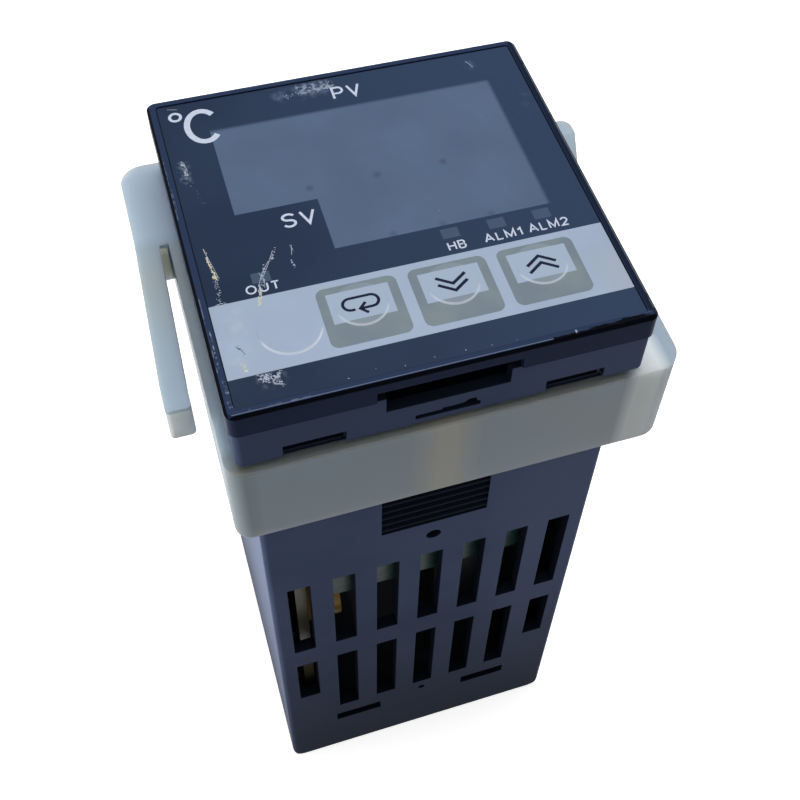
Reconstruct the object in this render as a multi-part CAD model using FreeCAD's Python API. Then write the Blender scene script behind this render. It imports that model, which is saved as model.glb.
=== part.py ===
# Panel-mount temperature controller, 48 mm square, with its slide-on mounting adapter.
# It stands on its rear end. +Z points out of the display, +X to its right and +Y up its face.
# The origin is the middle of the rear end. All sizes are in millimetres.
import FreeCAD, Part
import os

V = FreeCAD.Vector

# Case: the square tube behind the panel, and the flange in front of it
case_size = 44.8
case_wall = 1.8
case_corner = 0.8
case_rear_round = 2.2
behind_panel = 100.0
flange_overhang = 1.35
flange_depth = 6.2
flange_corner = 0.9

# Bezel: the front moulding that draws out with the boards
bezel_overhang = 0.25
bezel_depth = 3.6
bezel_corner = 1.1
bezel_chamfer = 0.35
bezel_wall = 1.6
skirt_wall = 1.0
skirt_gap = 0.25

# Front sheet and display window
rim_width = 1.1
sheet_thick = 0.3
sheet_sink = 0.15
sheet_corner = 0.5
sheet_gap = 0.05
window_from_left = 5.6
window_from_right = 4.5
window_from_top = 5.4
window_over_keys = 5.425
window_step_width = 9.7
window_step_height = 7.9
filter_lip = 0.5
filter_lip_thick = 0.6
filter_gap = 0.05

# Keys
key_names = ["mode_key", "down_key", "up_key"]
key_width = 9.0
key_height = 8.05
key_corner = 1.0
key_space = 1.45
key_from_skirt = 0.35
key_from_bottom = 4.625
key_gap = 0.06
key_guide_gap = 0.15
key_lip = 0.5
key_lip_thick = 0.6
key_travel = 0.3
key_emboss_radius = 3.05
key_emboss_edge = 0.075
stem_size = 3.0
emboss_rise = 0.15
emboss_slope = 0.25
blank_radius = 3.55
blank_gap = 0.15

# Indicator lamps: OUT at the left, three alarm lamps at the right
lamp_from_left = 0.75
lamp_from_right = 1.7
lamp_pitch = 5.575
lamp_drop = 1.3
lamp_width = 2.0
lamp_height = 1.35
lamp_gap = 0.1
lamp_body = 1.8

# Boards
board_thick = 1.6
board_gap = 0.2
display_board_depth = 9.4
display_board_edge = 0.35
side_board_space = 0.15
side_board_edge = 1.6
option_board_inset = 2.1
option_board_edge = 1.5
option_board_length = 46.0
clip_nib = 0.6
clip_nib_thick = 1.0
clip_slope = 0.6
clip_width = 10.0

# Display modules and switches
digit_count = 4
digit_groove = 0.4
digit_groove_depth = 1.5
pv_from_left = 0.9
pv_from_right = 2.0
pv_from_top = 1.0
sv_from_left = 1.0
sv_from_right = 1.4
sv_below = 0.1
module_gap = 0.15
row_gap = 0.4
switch_size = 6.0
switch_height = 3.5
plunger_size = 2.6
plunger_gap = 0.08
plunger_rise = 0.8
plunger_depth = 1.2
well_floor_gap = 0.1

# Release tongue, and the openings round the flange
tslot_head_width = 16.4
tslot_head_height = 1.8
tslot_foot_width = 14.2
tslot_foot_height = 2.5
tongue_width = 6.8
tongue_slit = 0.6
tongue_gap = 0.2
tongue_relief = 0.2
nib_height = 0.5
nib_gap = 0.1
nib_slope = 0.1
catch_width = 7.5
catch_height = 0.75
catch_over_foot = 0.2
chip_reach = 0.75
chip_depth = 2.2
notch_width = 7.0
notch_height = 1.9
notch_depth = 2.2
notch_inset = 8.65

# Sides of the case: ratchet rack, pin hole, vents and hook slots
rack_width = 14.2
rack_gap = 1.6
rack_length = 25.5
rack_pitch = 1.6
rack_depth = 0.9
rack_rib = 0.55
rack_rib_drop = 0.1
pin_hole_drop = 3.4
pin_hole_radius = 1.0
vent_columns = 7
vent_width = 3.1
vent_edge = 0.6
vent_drop = 5.3
vent_bridge = 5.2
vent_from_rear = 17.8
vent_short = 7.8
slot_width = 7.4
slot_height = 2.4
slot_z = 12.8
slot_x = 10.75
mark_z = 15.2
mark_radius = 0.55
mark_depth = 0.7

# Terminals
terminal_rows = 6
terminal_edge = 0.7
terminal_inset = 3.6
block_gap = 0.1
block_depth = 15.0
block_floor = 7.0
block_rim = 4.0
well_space = 0.25
well_end = 0.05
well_depth = 5.6
plate_thick = 0.8
plate_gap = 0.15
screw_radius = 1.5
screw_length = 5.5
screw_head_radius = 2.6
screw_head_height = 2.0
screw_gap = 0.05
screw_pocket = 3.6
screw_pocket_floor = 0.5
contact_thick = 0.4
contact_width = 2.4
contact_rise = 7.0
contact_bend = 1.0
contact_foot = 0.8
contact_gap = 0.05
contact_slot_gap = 0.1
board_slot_depth = 6.0
hook_gap = 0.15
hook_out = 1.0
hook_land = 0.6
hook_root = 0.6

# Mounting adapter: a one-piece frame that slides over the case, with two spring arms
adapter_front_gap = 0.7
adapter_depth = 14.4
adapter_gap_x = 0.2
adapter_gap_y = 0.6
adapter_wall_x = 2.4
adapter_wall_y = 1.3
adapter_end_round = 3.0
adapter_near_round = 2.0
wing_reach = 4.0
wing_root_length = 14.1
arm_length = 25.9
arm_depth = 6.8
arm_width = 2.9
arm_splay = 0.7
arm_straight = 4.0
arm_rise = 2.2
arm_tip_depth = 5.4
arm_tip_round = 0.6
bent_arm_length = 6.6
bent_arm_end = 2.6
bent_arm_tuck = 0.2
bent_arm_lift = 0.3
bent_arm_round = 1.4
tooth_count = 4
tooth_width = 13.0
tooth_gap = 0.1
tooth_margin = 0.5
tooth_crest = 0.4

# Parts on the boards
core_length = 16.0
core_width = 13.0
core_height = 12.0
core_leg = 3.0
core_stand = 1.0
bobbin_gap = 0.05
bobbin_reach = 2.5
bobbin_foot = 1.8
relay_length = 18.0
relay_width = 10.0
relay_height = 12.5
relay_edge = 0.5
alarm_relay_space = 4.0
alarm_relay_gap = 3.0
core_space = 1.0
output_relay_space = 11.0
capacitor_radius = 4.0
capacitor_height = 11.0
capacitor_space = 1.5
capacitor_gap = 2.0
choke_outer = 6.3
choke_inner = 2.2
choke_width = 5.0
choke_inset = 2.1
choke_space = 0.7
processor_size = 12.0
processor_thick = 1.6
processor_stand = 0.15
processor_inset = 30.8
processor_y = 6.0
leg_count = 11
leg_width = 0.4
leg_out = 0.9
leg_thick = 0.5
header_pitch = 2.5
header_size = 2.5
header_pins = 8
pin_size = 0.6
pin_out = 1.5

# Levels along Z that follow from the sizes above
panel_z = behind_panel
flange_z = panel_z + flange_depth
face_z = flange_z + bezel_depth
sheet_z = face_z - sheet_sink
floor_z = sheet_z - sheet_thick
wall_z = floor_z - bezel_wall
board_z = face_z - display_board_depth
board_back_z = board_z - board_thick
board_end_z = block_depth - board_slot_depth
option_board_z = board_back_z - option_board_length
rack_top_z = panel_z - rack_gap
rack_end_z = rack_top_z - rack_length
pin_hole_z = rack_end_z - pin_hole_drop
vent_top_z = pin_hole_z - vent_drop
vent_length = (vent_top_z - vent_from_rear - vent_bridge) / 2
tongue_z = board_z + tongue_gap
catch_z = tongue_z + catch_over_foot
adapter_z = panel_z - adapter_front_gap
alarm_relay_z = block_depth + alarm_relay_space

# Widths and places across the case
flange_size = case_size + 2 * flange_overhang
bezel_size = flange_size + 2 * bezel_overhang
sheet_size = bezel_size - 2 * rim_width
sheet_half = sheet_size / 2
inner = case_size - 2 * case_wall
skirt = inner - 2 * skirt_gap
hollow = skirt - 2 * skirt_wall
vent_pitch = (inner - 2 * vent_edge - vent_width) / (vent_columns - 1)
side_board_x = hollow / 2 - clip_nib - side_board_space - board_thick / 2
board_face_x = side_board_x - board_thick / 2
option_board_y = option_board_inset - inner / 2
notch_x = flange_size / 2 - notch_inset
terminal_x = side_board_x - terminal_inset
terminal_pitch = (inner - 2 * block_gap - 2 * terminal_edge) / terminal_rows
contact_x = side_board_x + board_thick / 2 + contact_gap
well_width = 2 * (screw_head_radius + well_space)
well_length = 2 * (contact_x + contact_thick - well_end - terminal_x)
adapter_in_x = case_size / 2 + adapter_gap_x
adapter_in_y = case_size / 2 + adapter_gap_y
adapter_half_x = adapter_in_x + adapter_wall_x
adapter_half_y = adapter_in_y + adapter_wall_y
wing_half = adapter_half_x + wing_reach
arm_root_y = adapter_half_y - wing_root_length
arm_tip_y = arm_root_y - arm_length

# Places on the face
key_pitch = key_width + key_space
key_last_x = hollow / 2 - key_from_skirt - key_lip - key_width / 2
key_first_x = key_last_x - (len(key_names) - 1) * key_pitch
key_y = key_from_bottom + key_height / 2 - sheet_half
key_emboss_y = key_y + key_height / 2 - key_emboss_radius - key_emboss_edge
blank_x = key_first_x - key_width / 2 - blank_radius - blank_gap
window_left = window_from_left - sheet_half
window_right = sheet_half - window_from_right
window_top = sheet_half - window_from_top
window_bottom = key_y + key_height / 2 + window_over_keys
window_step_x = window_left + window_step_width
window_step_y = window_bottom + window_step_height
window_points = [
    (window_left, window_top),
    (window_left, window_step_y),
    (window_step_x, window_step_y),
    (window_step_x, window_bottom),
    (window_right, window_bottom),
    (window_right, window_top),
]
lamp_y = window_bottom - lamp_drop
lamp_x = [window_left + lamp_from_left]
lamp_x = lamp_x + [window_right - lamp_from_right - i * lamp_pitch for i in range(3)]


def block(x0, x1, y0, y1, z0, z1):
    return Part.makeBox(x1 - x0, y1 - y0, z1 - z0, V(x0, y0, z0))


def centred(width, height, z0, z1, x=0.0, y=0.0):
    return block(x - width / 2, x + width / 2, y - height / 2, y + height / 2, z0, z1)


def rod(radius, z0, z1, x=0.0, y=0.0):
    return Part.makeCylinder(radius, z1 - z0, V(x, y, z0))


def rounded(width, height, radius, z0, z1, x=0.0, y=0.0):
    """A prism along Z on a rectangle with round corners."""
    body = centred(width, height, z0, z1, x, y)
    upright = [e for e in body.Edges if abs(e.Vertexes[0].Z - e.Vertexes[1].Z) > 1e-6]
    return body.makeFillet(radius, upright)


def prism(points, z0, z1):
    """A prism along Z on a closed outline of (x, y) points."""
    wire = Part.makePolygon([V(x, y, z0) for x, y in points + points[:1]])
    return Part.Face(wire).extrude(V(0, 0, z1 - z0))


def profile_x(points, x0, x1):
    """A prism along X on a closed outline of (y, z) points."""
    wire = Part.makePolygon([V(x0, y, z) for y, z in points + points[:1]])
    return Part.Face(wire).extrude(V(x1 - x0, 0, 0))


def profile_y(points, y0, y1):
    """A prism along Y on a closed outline of (x, z) points."""
    wire = Part.makePolygon([V(x, y0, z) for x, z in points + points[:1]])
    return Part.Face(wire).extrude(V(0, y1 - y0, 0))


def grown(points, by):
    """The window outline moved outwards by a margin; its one inner corner keeps its sense."""
    left, top = points[0]
    step_y = points[1][1]
    step_x = points[2][0]
    bottom = points[3][1]
    right = points[4][0]
    return [
        (left - by, top + by),
        (left - by, step_y - by),
        (step_x - by, step_y - by),
        (step_x - by, bottom - by),
        (right + by, bottom - by),
        (right + by, top + by),
    ]


def half_turn(shape):
    """A copy turned half a turn about Z."""
    copy = shape.copy()
    copy.rotate(V(0, 0, 0), V(0, 0, 1), 180)
    return copy


def key_places():
    return [(name, key_first_x + i * key_pitch) for i, name in enumerate(key_names)]


def terminal_places():
    places = []
    for side in (-1, 1):
        for i in range(terminal_rows):
            places.append((side, (i - (terminal_rows - 1) / 2) * terminal_pitch))
    return places


# Case

def case_tube():
    """The outer tube; its rear end is rounded at the left and right sides only."""
    tube = rounded(case_size, case_size, case_corner, 0, panel_z)
    half = case_size / 2
    flat = half - case_rear_round
    for side in (-1, 1):
        corner = block(flat, half + 1, -half - 1, half + 1, -1, case_rear_round)
        start = V(flat, -half - 2, case_rear_round)
        barrel = Part.makeCylinder(case_rear_round, case_size + 4, start, V(0, 1, 0))
        corner = corner.cut(barrel)
        tube = tube.cut(corner if side > 0 else half_turn(corner))
    return tube


def case_vents():
    """Both rows of upright vents in the near wall; the lower row is shorter at its two ends."""
    cuts = []
    y0 = -case_size / 2 - 1
    y1 = side_board_edge / 2 - inner / 2
    last = (vent_columns - 1) / 2
    for i in range(vent_columns):
        x = (i - last) * vent_pitch
        end = vent_from_rear + (vent_short if abs(i - last) == last else 0)
        x0 = x - vent_width / 2
        x1 = x + vent_width / 2
        cuts.append(block(x0, x1, y0, y1, vent_top_z - vent_length, vent_top_z))
        cuts.append(block(x0, x1, y0, y1, end, vent_from_rear + vent_length))
    return cuts


def case_rack():
    """The ratchet rack is a sunk field with straight ribs left standing across it."""
    y0 = -case_size / 2
    field = block(-rack_width / 2, rack_width / 2, y0 - 1, y0 + rack_depth, rack_end_z, rack_top_z)
    top = y0 + rack_rib_drop
    foot = y0 + 2 * rack_depth
    for i in range(int(rack_length / rack_pitch)):
        z = rack_end_z + (i + 0.5) * rack_pitch
        rib = [(foot, z - rack_rib), (top, z - rack_rib / 2), (top, z + rack_rib / 3), (foot, z + rack_rib)]
        field = field.cut(profile_x(rib, -rack_width / 2, rack_width / 2))
    return field


def hook_slots():
    """The two slots in the near wall that the terminal block snaps into."""
    y0 = -case_size / 2 - 1
    cuts = []
    for side in (-1, 1):
        x = side * slot_x
        z0 = slot_z - slot_height / 2
        x0 = x - slot_width / 2
        cuts.append(block(x0, x0 + slot_width, y0, y0 + case_wall + 2, z0, z0 + slot_height))
    return cuts


def near_holes():
    """The pin hole and the moulding mark, on the near wall only."""
    y0 = -case_size / 2 - 1
    pin = Part.makeCylinder(pin_hole_radius, case_wall + 2, V(0, y0, pin_hole_z), V(0, 1, 0))
    mark = Part.makeCylinder(mark_radius, 1 + mark_depth, V(0, y0, mark_z), V(0, 1, 0))
    return pin.fuse(mark)


def flange_notches():
    """Two square notches in the flange's rear edge on the near side."""
    y0 = -flange_size / 2 - 1
    cuts = []
    for side in (-1, 1):
        x = side * notch_x
        cuts.append(block(x - notch_width / 2, x + notch_width / 2, y0, y0 + 1 + notch_depth,
                          panel_z - 1, panel_z + notch_height))
    return cuts


def catch_slot():
    """The slot that the release tongue catches in, with the edge above it chipped."""
    y0 = -flange_size / 2 - 1
    low = catch_z
    high = low + catch_height
    end = catch_width / 2
    slot = block(-end, end, y0, 1 - inner / 2, low, high)
    chip = [
        (-0.24 * end, low),
        (-0.16 * end, high + 0.45 * chip_reach),
        (0.14 * end, high + 0.3 * chip_reach),
        (0.5 * end, high + 0.4 * chip_reach),
        (0.64 * end, high + chip_reach),
        (0.86 * end, high + 0.95 * chip_reach),
        (0.94 * end, low),
    ]
    return slot.fuse(profile_y(chip, y0, y0 + chip_depth))


def make_rear_case():
    body = case_tube()
    body = body.fuse(rounded(flange_size, flange_size, flange_corner, panel_z, flange_z))
    body = body.cut(centred(inner, inner, -1, flange_z + 1))
    for cut in case_vents() + [case_rack()] + hook_slots() + flange_notches():
        body = body.cut(cut)
        body = body.cut(half_turn(cut))
    body = body.cut(near_holes()).cut(catch_slot())
    foot = block(-tslot_foot_width / 2, tslot_foot_width / 2, -flange_size / 2 - 1, 1 - inner / 2,
                 flange_z - tslot_foot_height, flange_z + 1)
    return body.cut(foot).removeSplitter()


# Terminals

def make_terminal_block():
    size = inner - 2 * block_gap
    body = centred(size, size, 0, block_depth)
    for side, y in terminal_places():
        x = side * terminal_x
        body = body.cut(centred(well_length, well_width, -1, well_depth, x, y))
        end = well_depth + screw_length + screw_pocket_floor
        body = body.cut(centred(screw_pocket, screw_pocket, well_depth - 1, end, x, y))
        leg_x = side * (contact_x + contact_thick)
        leg_deep = 2 * (contact_thick + contact_slot_gap)
        leg_wide = contact_width + 2 * contact_slot_gap
        body = body.cut(centred(leg_deep, leg_wide, well_depth - 1, block_depth + 1, leg_x, y))
    for side in (-1, 1):
        height = inner - 2 * (side_board_edge - board_gap)
        wide = board_thick + board_gap
        body = body.cut(centred(wide, height, board_end_z, block_depth + 1, side * side_board_x, 0))
    middle = 2 * (terminal_x - well_length / 2) - block_rim
    body = body.cut(centred(middle, size - 2 * block_rim, block_floor, block_depth + 1))
    for side in (-1, 1):
        hook = terminal_hook(side * slot_x)
        body = body.fuse(hook)
        body = body.fuse(half_turn(hook))
    return body.removeSplitter()


def terminal_hook(x):
    """A snap hook of the block in its slot of the case, with a lead-in slope in front."""
    y0 = -inner / 2 + block_gap + hook_root
    tip = -inner / 2 - hook_out
    low = slot_z - slot_height / 2 + hook_gap
    high = slot_z + slot_height / 2 - hook_gap
    outline = [(y0, low), (tip, low), (tip, low + hook_land), (y0 - hook_root, high), (y0, high)]
    half = slot_width / 2 - hook_gap
    return profile_x(outline, x - half, x + half)


def make_terminal_contacts():
    """Stamped strips: a fork under each screw, and a leg that springs against the board's edge."""
    strips = []
    z0 = well_depth - plate_thick
    face = contact_x
    back = face + contact_thick
    top = block_depth + contact_rise
    leg = [
        (back - contact_foot, z0),
        (back + contact_thick, z0),
        (back + contact_thick, top - 3 * contact_bend),
        (face + contact_thick, top - contact_bend),
        (back + contact_thick, top),
        (back, top),
        (face, top - contact_bend),
        (back, top - 3 * contact_bend),
        (back, well_depth),
        (back - contact_foot, well_depth),
    ]
    for side, y in terminal_places():
        x = side * terminal_x
        half = well_length / 2 - plate_gap
        fork = centred(2 * half, well_width - 2 * plate_gap, z0, well_depth, x, y)
        gap = screw_radius + screw_gap
        inner_x = side * (terminal_x + gap)
        outer_x = side * (terminal_x - half - 1)
        x0, x1 = sorted([inner_x, outer_x])
        fork = fork.cut(block(x0, x1, y - gap, y + gap, z0 - 1, well_depth + 1))
        points = [(side * px, z) for px, z in leg]
        fork = fork.fuse(profile_y(points, y - contact_width / 2, y + contact_width / 2))
        strips.append(fork.removeSplitter())
    return strips


def make_terminal_screws():
    """Terminal screws, heads towards the rear end."""
    screws = []
    seat = well_depth - plate_thick
    for side, y in terminal_places():
        x = side * terminal_x
        head = rod(screw_head_radius, seat - screw_head_height, seat, x, y)
        screws.append(head.fuse(rod(screw_radius, seat - 0.1, well_depth + screw_length, x, y)))
    return screws


# Mounting adapter

def adapter_wing(z_top, arm):
    """A wing at the left: a root block at the far corner, with its spring arm."""
    z_arm = z_top - arm_depth
    root = block(-wing_half, -adapter_in_x - adapter_wall_x / 2, arm_root_y, adapter_half_y, z_arm, z_top)
    return root.fuse(arm)


def arm_solid(path, heights, tip_round):
    """A spring arm from its outer edge in plan (x, y) and its top and underside (y, z) along it."""
    inner_edge = [(x + arm_width, y) for x, y in reversed(path)]
    tops = [z for y, z in heights]
    arm = prism(path + inner_edge, min(tops) - arm_depth - 1, max(tops) + 1)
    arm = arm.common(profile_x(heights, -wing_half - arm_splay - 1, -wing_half + arm_width + 1))
    tip = [e for e in arm.Edges if e.BoundBox.YMax < arm_tip_y + 0.1]
    upright = [e for e in tip if e.BoundBox.ZLength > arm_tip_depth / 2]
    return arm.makeFillet(tip_round, upright)


def splayed_arm(z_top):
    """The left arm leans out and forward over its whole length."""
    start_y = arm_root_y + 1
    splay_x = -wing_half - arm_splay
    z_tip = z_top + arm_rise
    z_arm = z_top - arm_depth
    path = [(-wing_half, start_y), (splay_x, arm_tip_y + arm_straight), (splay_x, arm_tip_y)]
    side = [
        (start_y, z_top),
        (arm_root_y, z_top),
        (arm_tip_y, z_tip),
        (arm_tip_y, z_tip - arm_tip_depth),
        (arm_root_y, z_arm),
        (start_y, z_arm),
    ]
    return arm_solid(path, side, arm_tip_round)


def bent_arm(z_top):
    """The right arm, made here as a left one, lies close to the case and bends out near its tip."""
    start_y = arm_root_y + 1
    bend_y = arm_tip_y + bent_arm_length
    end_y = arm_tip_y + bent_arm_end
    splay_x = -wing_half - arm_splay
    z_bend = z_top + bent_arm_lift
    z_tip = z_top + arm_rise
    z_arm = z_top - arm_depth
    path = [
        (-wing_half, start_y),
        (-wing_half + bent_arm_tuck, bend_y),
        (splay_x, end_y),
        (splay_x, arm_tip_y),
    ]
    side = [
        (start_y, z_top),
        (arm_root_y, z_top),
        (bend_y, z_bend),
        (end_y, z_tip),
        (arm_tip_y, z_tip),
        (arm_tip_y, z_tip - arm_tip_depth),
        (end_y, z_tip - arm_tip_depth),
        (bend_y, z_bend - arm_tip_depth),
        (arm_root_y, z_arm),
        (start_y, z_arm),
    ]
    return arm_solid(path, side, bent_arm_round)


def make_mounting_adapter():
    z_top = adapter_z
    z_low = z_top - adapter_depth
    side_in = adapter_in_x
    wall_in = adapter_in_y
    body = block(-adapter_half_x, adapter_half_x, -adapter_half_y, adapter_half_y, z_low, z_top)
    far_wall = block(-wing_half, 0, wall_in - adapter_gap_y, adapter_half_y, z_low, z_top)
    for piece in (far_wall, half_turn(far_wall)):
        body = body.fuse(piece)
    left_wing = adapter_wing(z_top, splayed_arm(z_top))
    right_wing = half_turn(adapter_wing(z_top, bent_arm(z_top)))
    body = body.fuse(left_wing).fuse(right_wing)
    body = body.cut(block(-side_in, side_in, -wall_in, wall_in, z_low - 1, z_top + 1))
    body = body.removeSplitter()
    big = upright_edges(body, -wing_half, adapter_half_y) + upright_edges(body, wing_half, -adapter_half_y)
    body = body.makeFillet(adapter_end_round, big)
    small = upright_edges(body, -adapter_half_x, -adapter_half_y)
    small = small + upright_edges(body, adapter_half_x, adapter_half_y)
    body = body.makeFillet(adapter_near_round, small)
    teeth = adapter_teeth(z_low + tooth_margin)
    return body.fuse(teeth).fuse(half_turn(teeth)).removeSplitter()


def upright_edges(shape, x, y):
    found = []
    for edge in shape.Edges:
        box = edge.BoundBox
        if box.ZLength > 1 and abs(box.XMin - x) < 1e-3 and abs(box.XMax - x) < 1e-3:
            if abs(box.YMin - y) < 1e-3 and abs(box.YMax - y) < 1e-3:
                found.append(edge)
    return found


def adapter_teeth(z_start):
    """Saw teeth inside the near wall that point at the rack, one rack pitch apart."""
    crest = -(case_size / 2 + tooth_gap)
    wall = -adapter_in_y
    foot = wall - adapter_wall_y / 2
    points = [(foot, z_start)]
    for i in range(tooth_count):
        z = z_start + i * rack_pitch
        points.append((wall, z))
        points.append((crest, z + tooth_crest))
        points.append((crest, z + 2 * tooth_crest))
        points.append((wall, z + rack_pitch - tooth_gap))
    points.append((foot, z_start + tooth_count * rack_pitch - tooth_gap))
    return profile_x(points, -tooth_width / 2, tooth_width / 2)


# Bezel and what shows in the front

def make_front_bezel():
    body = rounded(bezel_size, bezel_size, bezel_corner, flange_z, face_z)
    rim = [e for e in body.Edges if e.BoundBox.ZMin > face_z - 1e-3]
    body = body.makeChamfer(bezel_chamfer, rim)
    seat = sheet_size + 2 * sheet_gap
    body = body.cut(rounded(seat, seat, sheet_corner, floor_z, face_z + 1))
    body = body.fuse(bezel_skirt())
    body = body.cut(centred(hollow, hollow, board_z - 1, wall_z))
    body = body.cut(prism(window_points, wall_z - 1, face_z + 1))
    for name, x in key_places():
        width = key_width + 2 * key_guide_gap
        height = key_height + 2 * key_guide_gap
        body = body.cut(rounded(width, height, key_corner, wall_z - 1, face_z + 1, x, key_y))
    for x in lamp_x:
        body = body.cut(centred(lamp_width, lamp_height, wall_z - 1, face_z + 1, x, lamp_y))
    head = block(-tslot_head_width / 2, tslot_head_width / 2, -bezel_size / 2 - 1, -hollow / 2,
                 flange_z - 1, flange_z + tslot_head_height)
    body = body.cut(head)
    return body.fuse(release_tongue()).removeSplitter()


def bezel_skirt():
    """The square skirt that fits in the case, with clips at both sides behind the display board."""
    body = centred(skirt, skirt, board_z, flange_z + skirt_wall / 2)
    half = skirt / 2
    for side in (-1, 1):
        foot = board_back_z - board_gap - clip_nib_thick
        outer = side * half
        inside = side * (half - skirt_wall)
        nib = side * (half - skirt_wall - clip_nib)
        outline = [
            (outer, flange_z),
            (outer, foot),
            (inside, foot),
            (nib, foot + clip_slope),
            (nib, board_back_z),
            (inside, board_back_z),
            (inside, flange_z),
        ]
        body = body.fuse(profile_y(outline, -clip_width / 2, clip_width / 2))
    near = centred(tongue_width + 2 * tongue_slit, 2 * skirt_wall + 1, board_z - 1, flange_z, 0, -half)
    return body.cut(near)


def release_tongue():
    """The springy tongue in the skirt's near wall, with its nib level with the catch slot."""
    y_out = -skirt / 2
    y_in = y_out + skirt_wall
    root = wall_z + bezel_wall / 2
    foot = tongue_z
    y_thin = y_out + tongue_relief
    y_nib = nib_gap - inner / 2
    low = catch_z + (catch_height - nib_height) / 2 - nib_slope
    outline = [
        (y_in, root),
        (y_in, foot),
        (y_thin, foot),
        (y_thin, low),
        (y_nib, low + nib_slope),
        (y_nib, low + nib_height),
        (y_thin, low + nib_height + nib_slope),
        (y_thin, root),
    ]
    return profile_x(outline, -tongue_width / 2, tongue_width / 2)


def make_front_sheet():
    body = rounded(sheet_size, sheet_size, sheet_corner, floor_z, sheet_z)
    for name, x in key_places():
        width = key_width + 2 * key_gap
        height = key_height + 2 * key_gap
        body = body.cut(rounded(width, height, key_corner, floor_z - 1, sheet_z + 1, x, key_y))
    return body.fuse(emboss(blank_x, key_y, blank_radius)).removeSplitter()


def emboss(x, y, radius):
    """A low raised disc with a sloped rim, sunk a little so that it joins the face."""
    sunk = sheet_thick / 6
    return Part.makeCone(radius, radius - emboss_slope, emboss_rise + sunk, V(x, y, sheet_z - sunk))


def make_display_filter():
    plug = prism(grown(window_points, -filter_gap), wall_z, floor_z)
    lip = prism(grown(window_points, filter_lip), wall_z - filter_lip_thick, wall_z)
    return plug.fuse(lip).removeSplitter()


def make_key(x):
    """A key's cap with its raised disc, the lip that stops it and the stem down to its switch."""
    low = wall_z - key_lip_thick / 2
    body = rounded(key_width, key_height, key_corner, low, sheet_z, x, key_y)
    body = body.fuse(emboss(x, key_emboss_y, key_emboss_radius))
    width = key_width + 2 * key_lip
    height = key_height + 2 * key_lip
    body = body.fuse(centred(width, height, wall_z - key_lip_thick, wall_z, x, key_y))
    body = body.fuse(centred(stem_size, stem_size, plunger_top(), low, x, key_y))
    return body.removeSplitter()


def plunger_top():
    return board_z + switch_height + plunger_rise


def make_plunger(x):
    """A switch's own plunger, standing in the well of its housing."""
    foot = board_z + switch_height - plunger_depth
    return centred(plunger_size, plunger_size, foot, plunger_top(), x, key_y)


def make_key_switches():
    """Three square switch housings on the display board, each with the well that its plunger moves in."""
    housings = []
    top = board_z + switch_height
    low = top - plunger_depth - key_travel - well_floor_gap
    for name, x in key_places():
        body = centred(switch_size, switch_size, board_z, top, x, key_y)
        well = plunger_size + 2 * plunger_gap
        housings.append(body.cut(centred(well, well, low, top + 1, x, key_y)))
    return housings


def make_indicator_lamps():
    """Light pipes on the display board that stand in the small openings under the window."""
    lamps = []
    wide = lamp_width - 2 * lamp_gap
    high = lamp_height - 2 * lamp_gap
    for x in lamp_x:
        foot = centred(lamp_body, lamp_body, board_z, wall_z - filter_lip_thick - lamp_gap, x, lamp_y)
        tip = centred(wide, high, board_z, floor_z - lamp_gap, x, lamp_y)
        lamps.append(foot.fuse(tip).removeSplitter())
    return lamps


# Display board and its modules

def make_display_board():
    height = skirt - 2 * display_board_edge
    return centred(hollow - board_gap, height, board_back_z, board_z)


def display_module(left, right, low, high):
    """A row of digits in one block; grooves on its back mark off each digit's cell."""
    top = wall_z - filter_lip_thick - module_gap
    body = block(left, right, low, high, board_z, top)
    half = digit_groove / 2
    for i in range(1, digit_count):
        x = left + i * (right - left) / digit_count
        groove = block(x - half, x + half, low - 1, high + 1, board_z - 1, board_z + digit_groove_depth)
        body = body.cut(groove)
    return body


def make_pv_display():
    left = window_left + pv_from_left
    right = window_right - pv_from_right
    return display_module(left, right, window_step_y + row_gap, window_top - pv_from_top)


def make_sv_display():
    left = window_step_x + sv_from_left
    right = window_right - sv_from_right
    return display_module(left, right, window_bottom - sv_below, window_step_y)


# Boards behind, and what they carry

def side_board(side):
    height = inner - 2 * side_board_edge
    return centred(board_thick, height, board_end_z, board_back_z, side * side_board_x, 0)


def make_option_board():
    width = 2 * (board_face_x - option_board_edge)
    return centred(width, board_thick, option_board_z, board_back_z, 0, option_board_y)


def make_board_headers():
    """Pin headers in the corners where the display board meets the boards behind it."""
    headers = []
    low = board_back_z - header_size
    length = header_pins * header_pitch
    for side in (-1, 1):
        x = side * (board_face_x - header_size / 2)
        body = centred(header_size, length, low, board_back_z, x, 0)
        for i in range(header_pins):
            y = (i - (header_pins - 1) / 2) * header_pitch
            body = body.fuse(centred(pin_size, pin_size, low - pin_out, board_back_z, x, y))
        headers.append(body.removeSplitter())
    y = option_board_y + board_thick / 2 + header_size / 2
    headers.append(centred(length, header_size, low, board_back_z, 0, y))
    return headers


def core_middle():
    """The transformer stands past the alarm relays, counted from the rear end."""
    return alarm_relay_z + relay_length + core_space + core_length / 2


def core_room():
    """Clear length of each window of the core."""
    return (core_length - 4 * core_leg) / 2


def make_transformer_core():
    """Two E cores meeting round the winding, over the power board."""
    x1 = board_face_x - core_stand
    x0 = x1 - core_height
    z0 = core_middle() - core_length / 2
    z1 = z0 + core_length
    half = core_width / 2
    body = block(x0, x1, -half, half, z0, z1)
    room = core_room()
    for low in (z0 + core_leg, z1 - core_leg - room):
        body = body.cut(block(x0 + core_leg, x1 - core_leg, -half - 1, half + 1, low, low + room))
    return body


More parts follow.
